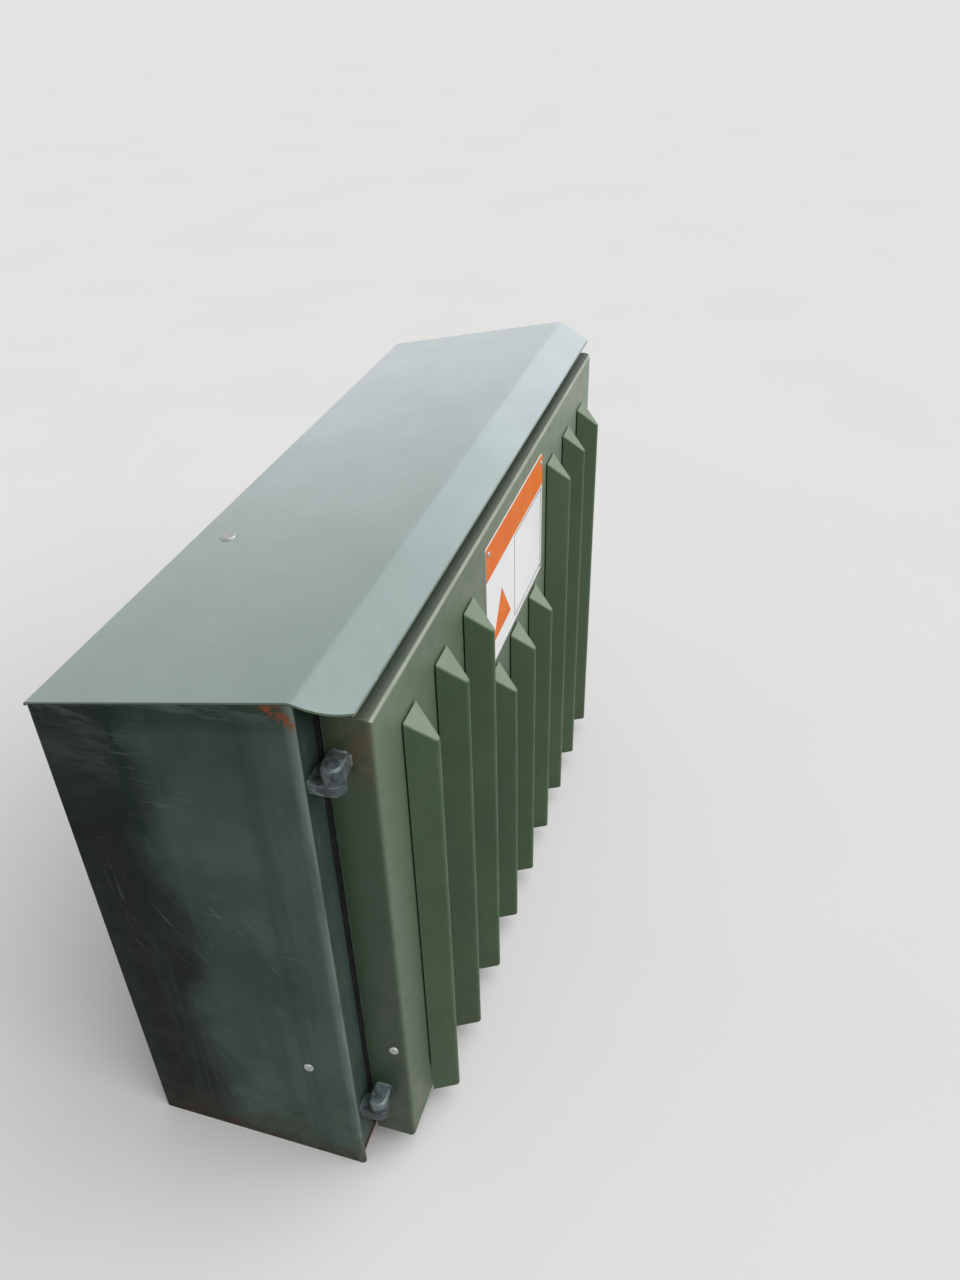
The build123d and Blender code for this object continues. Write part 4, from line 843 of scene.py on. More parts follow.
@dataclass(frozen=True)
class ZincPlate:
    """Galvanised steel inside the cabinet, with its crystal pattern and white bloom."""

    dark_crystal: Colour = (0.340, 0.360, 0.370, 1.0)
    light_crystal: Colour = (0.550, 0.570, 0.580, 1.0)
    bloom: Colour = (0.660, 0.670, 0.660, 1.0)

    def make(self) -> bpy.types.Material:
        """Builds the plating: crystals of differing grey under white bloom.

        Returns:
            The material.
        """
        graph = FinishGraph("zinc_steel")
        crystals = graph.share(graph.cells(95.0), 0.05, 0.75)
        colour = graph.mix(crystals, self.dark_crystal, self.light_crystal)
        bloom = graph.share(graph.mottle(24.0, 5.0, 0.65), 0.55, 0.75)
        colour = graph.mix(graph.times(bloom, 0.45), colour, self.bloom)
        graph.raised(graph.mottle(300.0, 3.0), 0.00008)
        rough = graph.share(crystals, 0.0, 1.0, 0.36, 0.52)
        return graph.done(colour, rough, graph.share(bloom, 0.0, 1.0, 0.95, 0.5))


@dataclass(frozen=True)
class BarMetal:
    """Drawn bar for current, copper or brass, tarnished and fingered."""

    name: str
    bright: Colour
    tarnished: Colour

    def make(self) -> bpy.types.Material:
        """Builds the bar: drawn lines along it, brown tarnish and dull spots.

        Returns:
            The material.
        """
        graph = FinishGraph(self.name)
        drawn = graph.mottle(1.0, 3.0, 0.6, (14.0, 900.0, 900.0))
        colour = graph.mix(graph.share(drawn, 0.3, 0.75), self.tarnished, self.bright)
        stains = graph.share(graph.mottle(34.0, 5.0, 0.65), 0.50, 0.68)
        colour = graph.mix(graph.times(stains, 0.6), colour, self.tarnished)
        graph.raised(drawn, 0.00004)
        return graph.done(colour, graph.share(stains, 0.0, 1.0, 0.26, 0.48), 1.0)


@dataclass(frozen=True)
class Moulding:
    """Moulded plastic with a fine spark-eroded grain and dust on what faces up."""

    name: str
    colour: Colour
    lighter: Colour
    roughness: float = 0.48

    def make(self) -> bpy.types.Material:
        """Builds the moulding: even colour with faint clouds, grain, dust and rubbed corners.

        Returns:
            The material.
        """
        graph = FinishGraph(self.name)
        colour = graph.mix(graph.share(graph.mottle(22.0, 3.0), 0.3, 0.7), self.colour, self.lighter)
        dust = graph.times(graph.share(graph.axis(graph.facing, 2), 0.3, 0.95),
                           graph.share(graph.mottle(60.0, 4.0), 0.35, 0.65))
        colour = graph.mix(graph.times(dust, 0.35), colour, DUST)
        rubbed = graph.times(graph.corner(0.0012), graph.share(graph.mottle(85.0), 0.4, 0.6), 0.35)
        colour = graph.mix(rubbed, colour, self.lighter)
        graph.raised(graph.mottle(900.0, 2.0), 0.00007)
        rough = graph.share(graph.mottle(48.0), 0.3, 0.7, self.roughness - 0.05, self.roughness + 0.08)
        return graph.done(colour, rough, specular=0.45)


@dataclass(frozen=True)
class FuseCeramic:
    """Glazed ceramic bodies of the fuse links, speckled off-white."""

    cream: Colour = (0.620, 0.580, 0.480, 1.0)
    glaze: Colour = (0.740, 0.710, 0.620, 1.0)
    iron_speck: Colour = (0.200, 0.140, 0.090, 1.0)

    def make(self) -> bpy.types.Material:
        """Builds the ceramic: warm white glaze with iron specks.

        Returns:
            The material.
        """
        graph = FinishGraph("fuse_ceramic")
        colour = graph.mix(graph.share(graph.mottle(40.0, 3.0), 0.3, 0.7), self.cream, self.glaze)
        specks = graph.share(graph.cells(420.0), 0.16, 0.08)
        colour = graph.mix(graph.times(specks, 0.5), colour, self.iron_speck)
        graph.raised(graph.mottle(130.0, 2.0), 0.00015)
        return graph.done(colour, roughness=0.22, coat=0.5, coat_roughness=0.08)


@dataclass(frozen=True)
class SealRubber:
    """Black sponge rubber of the door seal, greyed and dusty."""

    black: Colour = (0.006, 0.007, 0.006, 1.0)
    greyed: Colour = (0.018, 0.019, 0.018, 1.0)

    def make(self) -> bpy.types.Material:
        """Builds the rubber: dull black with grey bloom, dust and a fine sponge skin.

        Returns:
            The material.
        """
        graph = FinishGraph("seal_rubber")
        bloom = graph.share(graph.mottle(45.0, 5.0, 0.65), 0.35, 0.75)
        colour = graph.mix(bloom, self.black, self.greyed)
        dust = graph.share(graph.mottle(180.0, 3.0), 0.64, 0.78)
        colour = graph.mix(graph.times(dust, 0.12), colour, DUST)
        graph.raised(graph.mottle(800.0, 3.0), 0.00012)
        return graph.done(colour, roughness=0.82, specular=0.3)


@dataclass(frozen=True)
class SignEnamel:
    """White enamelled face of the plate on the door, lightly soiled."""

    white: Colour = (0.930, 0.940, 0.950, 1.0)
    clean: Colour = (0.970, 0.980, 0.990, 1.0)

    def make(self) -> bpy.types.Material:
        """Builds the face: faint white clouds, rain dirt and specks of soil.

        Returns:
            The material.
        """
        graph = FinishGraph("placard_white")
        colour = graph.mix(graph.share(graph.mottle(14.0, 4.0), 0.3, 0.7), self.white, self.clean)
        runs = graph.share(graph.mottle(1.0, 4.0, 0.6, (90.0, 90.0, 6.0)), 0.62, 0.78)
        colour = graph.mix(graph.times(runs, 0.08), colour, DUST)
        specks = graph.share(graph.mottle(210.0, 3.0), 0.68, 0.76)
        colour = graph.mix(graph.times(specks, 0.35), colour, SOIL)
        graph.raised(graph.mottle(90.0, 2.0), 0.00008)
        return graph.done(colour, roughness=0.45, specular=0.25)


@dataclass(frozen=True)
class PrintedFilm:
    """Orange printed film on the plate, sun-faded in patches."""

    orange: Colour = (0.840, 0.165, 0.012, 1.0)
    faded: Colour = (0.900, 0.220, 0.022, 1.0)

    def make(self) -> bpy.types.Material:
        """Builds the film: orange with faded clouds, fine print grain and dirt.

        Returns:
            The material.
        """
        graph = FinishGraph("placard_orange")
        colour = graph.mix(graph.share(graph.mottle(18.0, 4.0), 0.35, 0.70), self.orange, self.faded)
        dirt = graph.share(graph.mottle(1.0, 4.0, 0.6, (110.0, 110.0, 8.0)), 0.60, 0.75)
        colour = graph.mix(graph.times(dirt, 0.12), colour, SOIL)
        graph.raised(graph.mottle(300.0, 2.0), 0.00004)
        return graph.done(colour, roughness=0.50, specular=0.15)


@dataclass(frozen=True)
class PrintedLine:
    """Thin dark printed rules on the plate."""

    ink: Colour = (0.018, 0.018, 0.018, 1.0)
    worn_ink: Colour = (0.075, 0.075, 0.072, 1.0)

    def make(self) -> bpy.types.Material:
        """Builds the ink: near black, worn lighter in spots.

        Returns:
            The material.
        """
        graph = FinishGraph("placard_ink")
        worn = graph.share(graph.mottle(130.0, 4.0, 0.6), 0.45, 0.75)
        colour = graph.mix(worn, self.ink, self.worn_ink)
        return graph.done(colour, roughness=0.5, specular=0.3)


COPPER = BarMetal("copper", (0.74, 0.33, 0.20, 1.0), (0.26, 0.10, 0.055, 1.0))
BRASS = BarMetal("bar_brass", (0.70, 0.52, 0.22, 1.0), (0.30, 0.19, 0.07, 1.0))
DARK_PLASTIC = Moulding("dark_plastic", (0.022, 0.023, 0.025, 1.0), (0.050, 0.052, 0.055, 1.0))
GREY_PLASTIC = Moulding("grey_plastic", (0.250, 0.262, 0.270, 1.0), (0.330, 0.345, 0.352, 1.0))
RED_PLASTIC = Moulding("red_plastic", (0.420, 0.018, 0.014, 1.0), (0.560, 0.045, 0.035, 1.0),
                       roughness=0.38)
INSULATOR = Moulding("insulator", (0.230, 0.060, 0.032, 1.0), (0.310, 0.100, 0.060, 1.0),
                     roughness=0.42)
BRIGHT = BrightFastener("bright_steel")
SCREW = BrightFastener("dull_screw_steel", dulled=0.35, metallic=0.7)
ZINC = ZincPlate()


class Finish(Protocol):
    """What every finish can do."""

    def make(self) -> bpy.types.Material:
        """Builds the finish's material."""


class FinishShop:
    """Makes each finish once and hands out its material."""

    def __init__(self) -> None:
        """Starts with no finish made."""
        self.made: dict[Finish, bpy.types.Material] = {}

    def material(self, finish: Finish) -> bpy.types.Material:
        """Hands out the material of a finish, made on first use.

        Args:
            finish: the finish.

        Returns:
            Its material.
        """
        if finish not in self.made:
            self.made[finish] = finish.make()
        return self.made[finish]


@dataclass(frozen=True)
class BeadShape:
    """The shape of every weld bead: shares of its radius, the length of a ripple and noise scales."""

    ripple: float = 0.0016
    sides: int = 8
    fewest: int = 6
    lean: float = 0.7
    rise: float = 0.8
    wander: float = 0.18
    wander_scale: float = 400.0
    blunt: float = 0.04
    hollow: float = 0.86
    unevenness: float = 0.05
    uneven_scale: float = 900.0


BEAD = BeadShape()


@dataclass(frozen=True)
class Turning:
    """A turned shape: (radius, height) shares from the foot to the top, and the points of a ring."""

    profile: tuple[Span, ...]
    sides: int = 24


WASHER = Turning(((1.5, 0.0), (1.5, 0.18), (1.425, 0.25)))
HEX_HEAD = Turning(((1.0, 0.25), (1.0, 0.85), (0.86, 1.0)), sides=6)
CHEESE_HEAD = Turning(((1.0, 0.0), (1.0, 0.75), (0.86, 1.0), (0.55, 1.0), (0.30, 0.55)), sides=16)
SPOT_WELD = Turning(((1.0, -1.0), (1.0, 0.4), (0.7, 1.0), (0.55, 0.5)), sides=16)


class Stock:
    """Closed solids gathered into one mesh."""

    def __init__(self) -> None:
        """Starts an empty mesh."""
        self.mesh = bmesh.new()

    def loft(self, rings: list[list[Vector]]) -> None:
        """Skins a row of rings of equal count and caps both ends.

        Args:
            rings: the rings' points, in order.
        """
        rows = [[self.mesh.verts.new(point) for point in ring] for ring in rings]
        count = len(rows[0])
        for low, high in zip(rows, rows[1:]):
            for step in range(count):
                after = (step + 1) % count
                self.mesh.faces.new((low[step], low[after], high[after], high[step]))
        self.mesh.faces.new(list(reversed(rows[0])))
        self.mesh.faces.new(rows[-1])

    def turned(self, place: Matrix, shape: Turning, radius: float, height: float) -> None:
        """Adds a turned solid.

        Args:
            place: where it stands; it turns about this place's Z.
            shape: what is turned.
            radius: the length of the shape's whole radius.
            height: the length of its whole height.
        """
        turns = [2 * math.pi * step / shape.sides for step in range(shape.sides)]
        self.loft([
            [place @ Vector((out * radius * math.cos(turn), out * radius * math.sin(turn), up * height))
             for turn in turns]
            for out, up in shape.profile
        ])

    def block(self, low: Vector, high: Vector, edge: float) -> None:
        """Adds a block with rounded edges.

        Args:
            low: its lower corner.
            high: its upper corner.
            edge: the rounding of its edges.
        """
        centre, size = (low + high) / 2, high - low
        place = Matrix.Translation(centre) @ Matrix.Diagonal((*size, 1.0))
        made = bmesh.ops.create_cube(self.mesh, size=1.0, matrix=place)
        edges = {line for vert in made["verts"] for line in vert.link_edges}
        bmesh.ops.bevel(self.mesh, geom=list(edges), offset=edge, segments=2, profile=0.5, affect="EDGES")

    def swept(self, path: list[Vector], section: list[tuple[float, float]], up: Vector,
              sizes: list[float] | None = None) -> None:
        """Sweeps a section along a path.

        Args:
            path: the points of the path.
            section: the section's points, across and up.
            up: the direction that the section's second axis follows.
            sizes: the section's scale at each point, 1 where it is left out.
        """
        rings = []
        for index, point in enumerate(path):
            before, after = path[max(0, index - 1)], path[min(index + 1, len(path) - 1)]
            along = (after - before).normalized()
            across = along.cross(up).normalized()
            rise = across.cross(along)
            size = sizes[index] if sizes else 1.0
            rings.append([point + (across * u + rise * v) * size for u, v in section])
        self.loft(rings)

    def bead(self, start: Vector, end: Vector, radius: float, up: Vector) -> None:
        """Adds a weld bead with its ripples.

        Args:
            start: one end of the bead.
            end: the other end.
            radius: the bead's half width.
            up: the direction away from the joint.
        """
        length = (end - start).length
        count = max(BEAD.fewest, int(length / BEAD.ripple) * 2)
        turns = [2 * math.pi * step / BEAD.sides for step in range(BEAD.sides)]
        section = [(math.cos(turn) * radius, math.sin(turn) * radius * BEAD.rise) for turn in turns]
        path, sizes = [], []
        for step in range(count + 1):
            share = step / count
            point = start.lerp(end, share)
            path.append(point + up * ripple.noise(point * BEAD.wander_scale) * radius * BEAD.wander)
            inward = min(share, 1 - share) * length / radius
            rounding = math.sin(math.pi * min(1.0, max(BEAD.blunt, inward)) / 2)
            hollow = 1.0 if step % 2 else BEAD.hollow
            sizes.append(rounding * hollow + BEAD.unevenness * ripple.noise(point * BEAD.uneven_scale))
        self.swept(path, section, up, sizes)

    def hex_bolt(self, place: Matrix, radius: float, height: float) -> None:
        """Adds a hexagon head on its washer, standing on the place's XY plane."""
        self.turned(place, WASHER, radius, height)
        self.turned(place, HEX_HEAD, radius, height)

    def screw(self, place: Matrix, radius: float, height: float) -> None:
        """Adds a cheese-head screw with a hollow in its head, standing on the place's XY plane."""
        self.turned(place, CHEESE_HEAD, radius, height)

    def shaped(self, name: str, angle: float = SHARP_ANGLE) -> bpy.types.Object:
        """Turns the mesh into an object.

        Args:
            name: the object's name.
            angle: edges sharper than this many degrees stay sharp.

        Returns:
            The new object, linked to the scene.
        """
        bmesh.ops.recalc_face_normals(self.mesh, faces=self.mesh.faces)
        data = bpy.data.meshes.new(name)
        self.mesh.to_mesh(data)
        self.mesh.free()
        data.polygons.foreach_set("use_smooth", [True] * len(data.polygons))
        data.set_sharp_from_angle(angle=math.radians(angle))
        piece = bpy.data.objects.new(name, data)
        bpy.context.scene.collection.objects.link(piece)
        return piece


def facing_front(x: float, y: float, z: float) -> Matrix:
    """A place whose Z points out of the front, towards -Y."""
    return Matrix.Translation((x, y, z)) @ Matrix.Rotation(math.pi / 2, 4, "X")


def facing_back(x: float, y: float, z: float) -> Matrix:
    """A place whose Z points out of the back, towards +Y."""
    return Matrix.Translation((x, y, z)) @ Matrix.Rotation(-math.pi / 2, 4, "X")


@dataclass
class SubAssembly:
    """Pieces of the cabinet that are built and dressed together."""

    shop: FinishShop

    def dress(self, finish: Finish, *nodes: str) -> list[str]:
        """Gives solids of the frame their finish.

        Args:
            finish: the finish to lay on.
            nodes: the solids' names.

        Returns:
            A line about each, for the log.
        """
        material = self.shop.material(finish)
        for name in nodes:
            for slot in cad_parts[name].material_slots:
                slot.link = "OBJECT"
                slot.material = material
        return [f"{name} in {material.name}" for name in nodes]

    def add(self, stock: Stock, name: str, finish: Finish, body: str, slot: str,
            angle: float = SHARP_ANGLE, replaced: str | None = None) -> list[str]:
        """Turns stock into a piece of the cabinet.

        Args:
            stock: the mesh.
            name: the piece's name.
            finish: its finish.
            body: the body that it moves with.
            slot: the record's material slot that it stands for; not used.
            angle: edges sharper than this many degrees stay sharp.
            replaced: the solid that it is drawn in place of, if there is one.

        Returns:
            A line about it, for the log.
        """
        piece = stock.shaped(name, angle)
        piece.data.materials.append(self.shop.material(finish))
        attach(piece, body)
        if replaced:
            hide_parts(replaced)
        return [f"{name}, {len(piece.data.polygons)} faces, on {body}"]


@dataclass
class BaseFrame(SubAssembly):
    """The rusted angle frame that the cabinet stands on."""

    bead_radius: float = 0.0028
    bead_length: float = 0.024
    bead_inset: float = 0.004
    bead_foot: float = 0.006

    def build(self) -> list[str]:
        """Dresses the four rails and adds the welds of the frame's corners.

        Returns:
            A line about each piece, for the log.
        """
        rust = RustedSteel()
        lines = self.dress(rust, "base_rail_front", "base_rail_back", "base_rail_left", "base_rail_right")
        stock = Stock()
        for name, side in (("base_rail_left", 1), ("base_rail_right", -1)):
            low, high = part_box(name)
            inner = low.x + self.bead_inset if side > 0 else high.x - self.bead_inset
            for y in (low.y, high.y):
                foot = Vector((inner, y, low.z + self.bead_foot))
                head = foot + Vector((0, 0, self.bead_length))
                stock.bead(foot, head, self.bead_radius, Vector((side, 0, 0)))
        return lines + self.add(stock, "frame_welds", rust, "cabinet", "rusted_steel")


@dataclass
class BodyShell(SubAssembly):
    """The folded sheets of the body, with their small fasteners and spot welds."""

    weld_radius: float = 0.0032
    weld_rise: float = 0.0005
    weld_inset: float = 0.011
    weld_foot: float = 0.045
    weld_pitch: float = 0.080
    weld_count: int = 9

    def build(self) -> list[str]:
        """Dresses the sheets by how they stand in the weather.

        Returns:
            A line about each piece, for the log.
        """
        lines = self.dress(GreenPaint(Exposure.ROOF), "roof_panel")
        lines += self.dress(GreenPaint(Exposure.END), "end_panel_left", "end_panel_right")
        lines += self.dress(GreenPaint(Exposure.BACK), "back_panel")
        lines += self.dress(GreenPaint(Exposure.INSIDE), "door_header", "door_sill")
        return lines + self.dress(SCREW, "roof_plug", "end_wall_screws") + self.spot_welds()

    def spot_welds(self) -> list[str]:
        """Adds the spot welds that join the end panels' back flanges to the back panel.

        Returns:
            A line about them, for the log.
        """
        stock = Stock()
        left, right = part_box("end_panel_left"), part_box("end_panel_right")
        for x in (left[0].x + self.weld_inset, right[1].x - self.weld_inset):
            for step in range(self.weld_count):
                place = facing_back(x, left[1].y, self.weld_foot + step * self.weld_pitch)
                stock.turned(place, SPOT_WELD, self.weld_radius, self.weld_rise)
        return self.add(stock, "back_spot_welds", GreenPaint(Exposure.BACK), "cabinet", "green_paint")


@dataclass
class DoorSeal(SubAssembly):
    """The sponge rubber seal round the top and sides of the door opening."""

    width: float = 0.014
    web: float = 0.0020
    bulb: float = 0.00476
    bulb_steps: int = 10
    corner_radius: float = 0.012
    corner_steps: int = 8
    sharp_angle: float = 50.0

    def section(self, depth: float) -> list[tuple[float, float]]:
        """Draws the D-shaped section, a flat web with a bulb on it.

        Args:
            depth: the height of the web and the bulb.

        Returns:
            The section's points, across and up.
        """
        half, bulb, rise = self.width / 2, self.bulb, depth - self.web
        turns = [math.pi * step / self.bulb_steps for step in range(1, self.bulb_steps)]
        arch = [(bulb * math.cos(turn), self.web + rise * math.sin(turn)) for turn in turns]
        return [(-half, 0.0), (half, 0.0), (half, self.web), (bulb, self.web)] + arch + [
            (-bulb, self.web), (-half, self.web)]

    def build(self) -> list[str]:
        """Sweeps the section up one side, across the top and down the other.

        Returns:
            A line about each piece, for the log.
        """
        low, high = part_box("door_seal")
        inset, y = self.width / 2, high.y
        left, right, top = low.x + inset, high.x - inset, high.z - inset
        path = [Vector((left, y, low.z))]
        for centre, start in (
            (left + self.corner_radius, math.pi), (right - self.corner_radius, math.pi / 2),
        ):
            for step in range(self.corner_steps + 1):
                turn = start - math.pi / 2 * step / self.corner_steps
                path.append(Vector((centre + self.corner_radius * math.cos(turn), y,
                                    top - self.corner_radius + self.corner_radius * math.sin(turn))))
        path.append(Vector((right, y, low.z)))
        stock = Stock()
        stock.swept(path, self.section(high.y - low.y), Vector((0, -1, 0)))
        return self.add(stock, "door_seal_rubber", SealRubber(), "cabinet", "seal_rubber",
                        angle=self.sharp_angle, replaced="door_seal")


@dataclass
class DoorLeaf(SubAssembly):
    """The door's folded tray, its stiffeners and its insect screen."""

    def build(self) -> list[str]:
        """Dresses the tray, what stiffens it and its screw.

        Returns:
            A line about each piece, for the log.
        """
        lines = self.dress(GreenPaint(Exposure.DOOR, DOOR_CENTRE), "door_skin")
        lines += self.dress(GreenPaint(Exposure.INSIDE, DOOR_CENTRE), "door_stiffeners")
        return lines + self.dress(SCREW, "door_screw") + self.dress(ZINC, "vent_screen")


@dataclass
class VentHoods(SubAssembly):
    """The nine hoods on the door, with the stitch welds of their closed edges."""

    count: int = 9
    bead_radius: float = 0.0014
    stitch: float = 0.030
    pitch: float = 0.110
    first: float = 0.045

    def build(self) -> list[str]:
        """Dresses the hoods and stitches their right-hand edges to the door.

        Returns:
            A line about each piece, for the log.
        """
        paint = GreenPaint(Exposure.HOOD, DOOR_CENTRE)
        names = [f"vent_hood_{index}" for index in range(1, self.count + 1)]
        lines = self.dress(paint, *names)
        stock = Stock()
        for name in names:
            low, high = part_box(name)
            z = low.z + self.first
            while z + self.stitch < high.z - self.first:
                foot = Vector((high.x, high.y, z))
                stock.bead(foot, foot + Vector((0, 0, self.stitch)), self.bead_radius,
                           Vector((BEAD.lean, -BEAD.lean, 0)))
                z += self.pitch
        return lines + self.add(stock, "hood_welds", paint, "door", "green_paint")


@dataclass
class LiftOffHinges(SubAssembly):
    """Two cast hinges, welded to the body's flange and to the side of the door."""

    bead_radius: float = 0.0022
    overlap: float = 0.0006
    tail_foot_gap: float = 0.004
    tail_top_gap: float = 0.002
    tail_side_gap: float = 0.003

    def build(self) -> list[str]:
        """Dresses the castings and lays the weld beads round them.

        Returns:
            A line about each piece, for the log.
        """
        casting = HingeCasting()
        lines = self.dress(BRIGHT, "hinge_pin_lower", "hinge_pin_upper")
        lugs, tails = Stock(), Stock()
        for name in ("lower", "upper"):
            lines += self.dress(casting, f"hinge_lug_{name}", f"hinge_knuckle_{name}")
            self.round_lug(lugs, f"hinge_lug_{name}")
            self.round_tail(tails, f"hinge_knuckle_{name}")
        lines += self.add(lugs, "hinge_lug_welds", casting, "cabinet", "hinge_casting")
        return lines + self.add(tails, "hinge_knuckle_welds", casting, "door", "hinge_casting")

    def round_lug(self, stock: Stock, node: str) -> None:
        """Lays beads above and below a lug, where it meets the flange.

        Args:
            stock: the mesh that takes the beads.
            node: the lug's name.
        """
        low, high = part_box(node)
        y = high.y - self.overlap
        for z, side in ((low.z, -1), (high.z, 1)):
            start, end = Vector((low.x, y, z)), Vector((high.x, y, z))
            stock.bead(start, end, self.bead_radius, Vector((0, -BEAD.lean, BEAD.lean * side)))

    def round_tail(self, stock: Stock, node: str) -> None:
        """Lays beads down both sides and across the top of a knuckle's tail.

        Args:
            stock: the mesh that takes the beads.
            node: the knuckle's name.
        """
        low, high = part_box(node)
        x = high.x - self.overlap
        for y, side in ((low.y, -1), (high.y, 1)):
            start = Vector((x, y, low.z + self.tail_foot_gap))
            end = Vector((x, y, high.z - self.tail_top_gap))
            stock.bead(start, end, self.bead_radius, Vector((-BEAD.lean, BEAD.lean * side, 0)))
        start = Vector((x, low.y + self.tail_side_gap, high.z))
        end = Vector((x, high.y - self.tail_side_gap, high.z))
        stock.bead(start, end, self.bead_radius, Vector((-BEAD.lean, 0, BEAD.lean)))


@dataclass
class Placard(SubAssembly):
    """The blank plate on the door: white face, orange fields and thin dark rules."""

    band: float = 0.050
    rule: float = 0.0012
    film: float = 0.00025
    margin: float = 0.009
    split: float = 0.139

    def build(self) -> list[str]:
        """Dresses the plate and its rivets, and prints the rules.

        Returns:
            A line about each piece, for the log.
        """
        lines = self.dress(SignEnamel(), "placard")
        lines += self.dress(PrintedFilm(), "placard_print")
        lines += self.dress(BRIGHT, "placard_rivets")
        low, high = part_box("placard")
        top = high.z - self.band - self.margin / 2
        left, right = low.x + self.split, high.x - self.margin
        foot = low.z + self.margin
        near, far = low.y - self.film, low.y + self.film
        stock = Stock()
        for x0, x1, z0, z1 in (
            (left, right, top - self.rule, top), (left, right, foot, foot + self.rule),
            (left, left + self.rule, foot, top), (right - self.rule, right, foot, top),
        ):
            stock.block(Vector((x0, near, z0)), Vector((x1, far, z1)), self.film / 4)
        return lines + self.add(stock, "placard_rules", PrintedLine(), "door", "dark_plastic")


@dataclass
class QuarterTurnLock(SubAssembly):
    """The lock in the door: sleeve, barrel, cam and screw."""

    def build(self) -> list[str]:
        """Dresses the lock's metal."""
        return self.dress(BRIGHT, "lock_housing", "lock_barrel", "cam_screw") + self.dress(ZINC, "lock_cam")


@dataclass
class GearBoard(SubAssembly):
    """The equipment board, its spacers and the cable rail at its foot."""

    inset: float = 0.040
    bolt_radius: float = 0.0055
    bolt_height: float = 0.0060

    def build(self) -> list[str]:
        """Dresses the zinc-plated sheets and bolts the board to its spacers.

        Returns:
            A line about each piece, for the log.
        """
        lines = self.dress(ZINC, "gear_board", "board_standoffs", "cable_rail")
        low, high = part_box("gear_board")
        stock = Stock()
        for x in (low.x + self.inset, (low.x + high.x) / 2, high.x - self.inset):
            for z in (low.z + self.inset, high.z - self.inset):
                stock.hex_bolt(facing_front(x, low.y, z), self.bolt_radius, self.bolt_height)
        return lines + self.add(stock, "board_bolts", BRIGHT, "cabinet", "bright_steel")


@dataclass
class BusbarSet(SubAssembly):
    """The busbars, the neutral and earth bars, their insulators and screws."""

    terminal_pitch: float = 0.022
    terminal_margin: float = 0.070
    screw_radius: float = 0.0046
    screw_height: float = 0.0034
    bolt_radius: float = 0.0055
    bolt_height: float = 0.0050
    first_support: float = -0.443
    support_pitch: float = 0.150
    support_count: int = 4
    support_bolt_rise: float = 0.030

    def build(self) -> list[str]:
        """Dresses the bars and adds the screws of the terminals and supports.

        Returns:
            A line about each piece, for the log.
        """
        lines = self.dress(COPPER, "busbar_lower", "busbar_middle", "busbar_upper")
        lines += self.dress(BRASS, "neutral_bar", "earth_bar")
        lines += self.dress(INSULATOR, "bar_supports")
        screws = Stock()
        for name in ("neutral_bar", "earth_bar"):
            low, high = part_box(name)
            length = high.x - low.x
            count = int((length - 2 * self.terminal_margin) / self.terminal_pitch) + 1
            middle, z = (low.x + high.x) / 2, (low.z + high.z) / 2
            for place in range(count):
                x = middle + (place - (count - 1) / 2) * self.terminal_pitch
                screws.screw(facing_front(x, low.y, z), self.screw_radius, self.screw_height)
        lines += self.add(screws, "terminal_screws", BRIGHT, "cabinet", "bright_steel")
        bolts = Stock()
        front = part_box("bar_supports")[0].y
        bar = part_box("busbar_middle")
        middle = (bar[0].z + bar[1].z) / 2
        for place in range(self.support_count):
            x = self.first_support + place * self.support_pitch
            for side in (-1, 1):
                foot = facing_front(x, front, middle + side * self.support_bolt_rise)
                bolts.hex_bolt(foot, self.bolt_radius, self.bolt_height)
        return lines + self.add(bolts, "support_bolts", BRIGHT, "cabinet", "bright_steel")


@dataclass
class FuseSwitches(SubAssembly):
    """Three fuse switches on the busbars: bases, tilting lids and their links."""

    count: int = 3
    rib_width: float = 0.010
    rib_height: float = 0.0018
    rib_top: float = 0.062
    rib_foot: float = 0.030
    rib_pitch: float = 0.0297
    grip_reach: float = 0.026

    def build(self) -> list[str]:
        """Dresses each unit and adds the ribs of its lid.

        Returns:
            A line about each piece, for the log.
        """
        lines: list[str] = []
        for index in range(1, self.count + 1):
            lines += self.dress(DARK_PLASTIC, f"fuse_base_{index}")
            lines += self.dress(GREY_PLASTIC, f"fuse_lid_{index}")
            lines += self.dress(FuseCeramic(), f"fuse_links_{index}")
            lines += self.lid_ribs(index)
        return lines

    def lid_ribs(self, index: int) -> list[str]:
        """Adds three raised ribs to the front of a lid, one for each fuse link.

        Args:
            index: the fuse switch, counted from 1.

        Returns:
            A line about them, for the log.
        """
        low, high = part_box(f"fuse_lid_{index}")
        middle = (low.x + high.x) / 2
        front = low.y + self.grip_reach
        stock = Stock()
        for step in (-1, 0, 1):
            x = middle + step * self.rib_pitch
            stock.block(Vector((x - self.rib_width / 2, front - self.rib_height, low.z + self.rib_foot)),
                        Vector((x + self.rib_width / 2, front + self.rib_height, high.z - self.rib_top)),
                        self.rib_height * 0.6)
        return self.add(stock, f"fuse_lid_ribs_{index}", GREY_PLASTIC, f"lid_{index}", "grey_plastic")


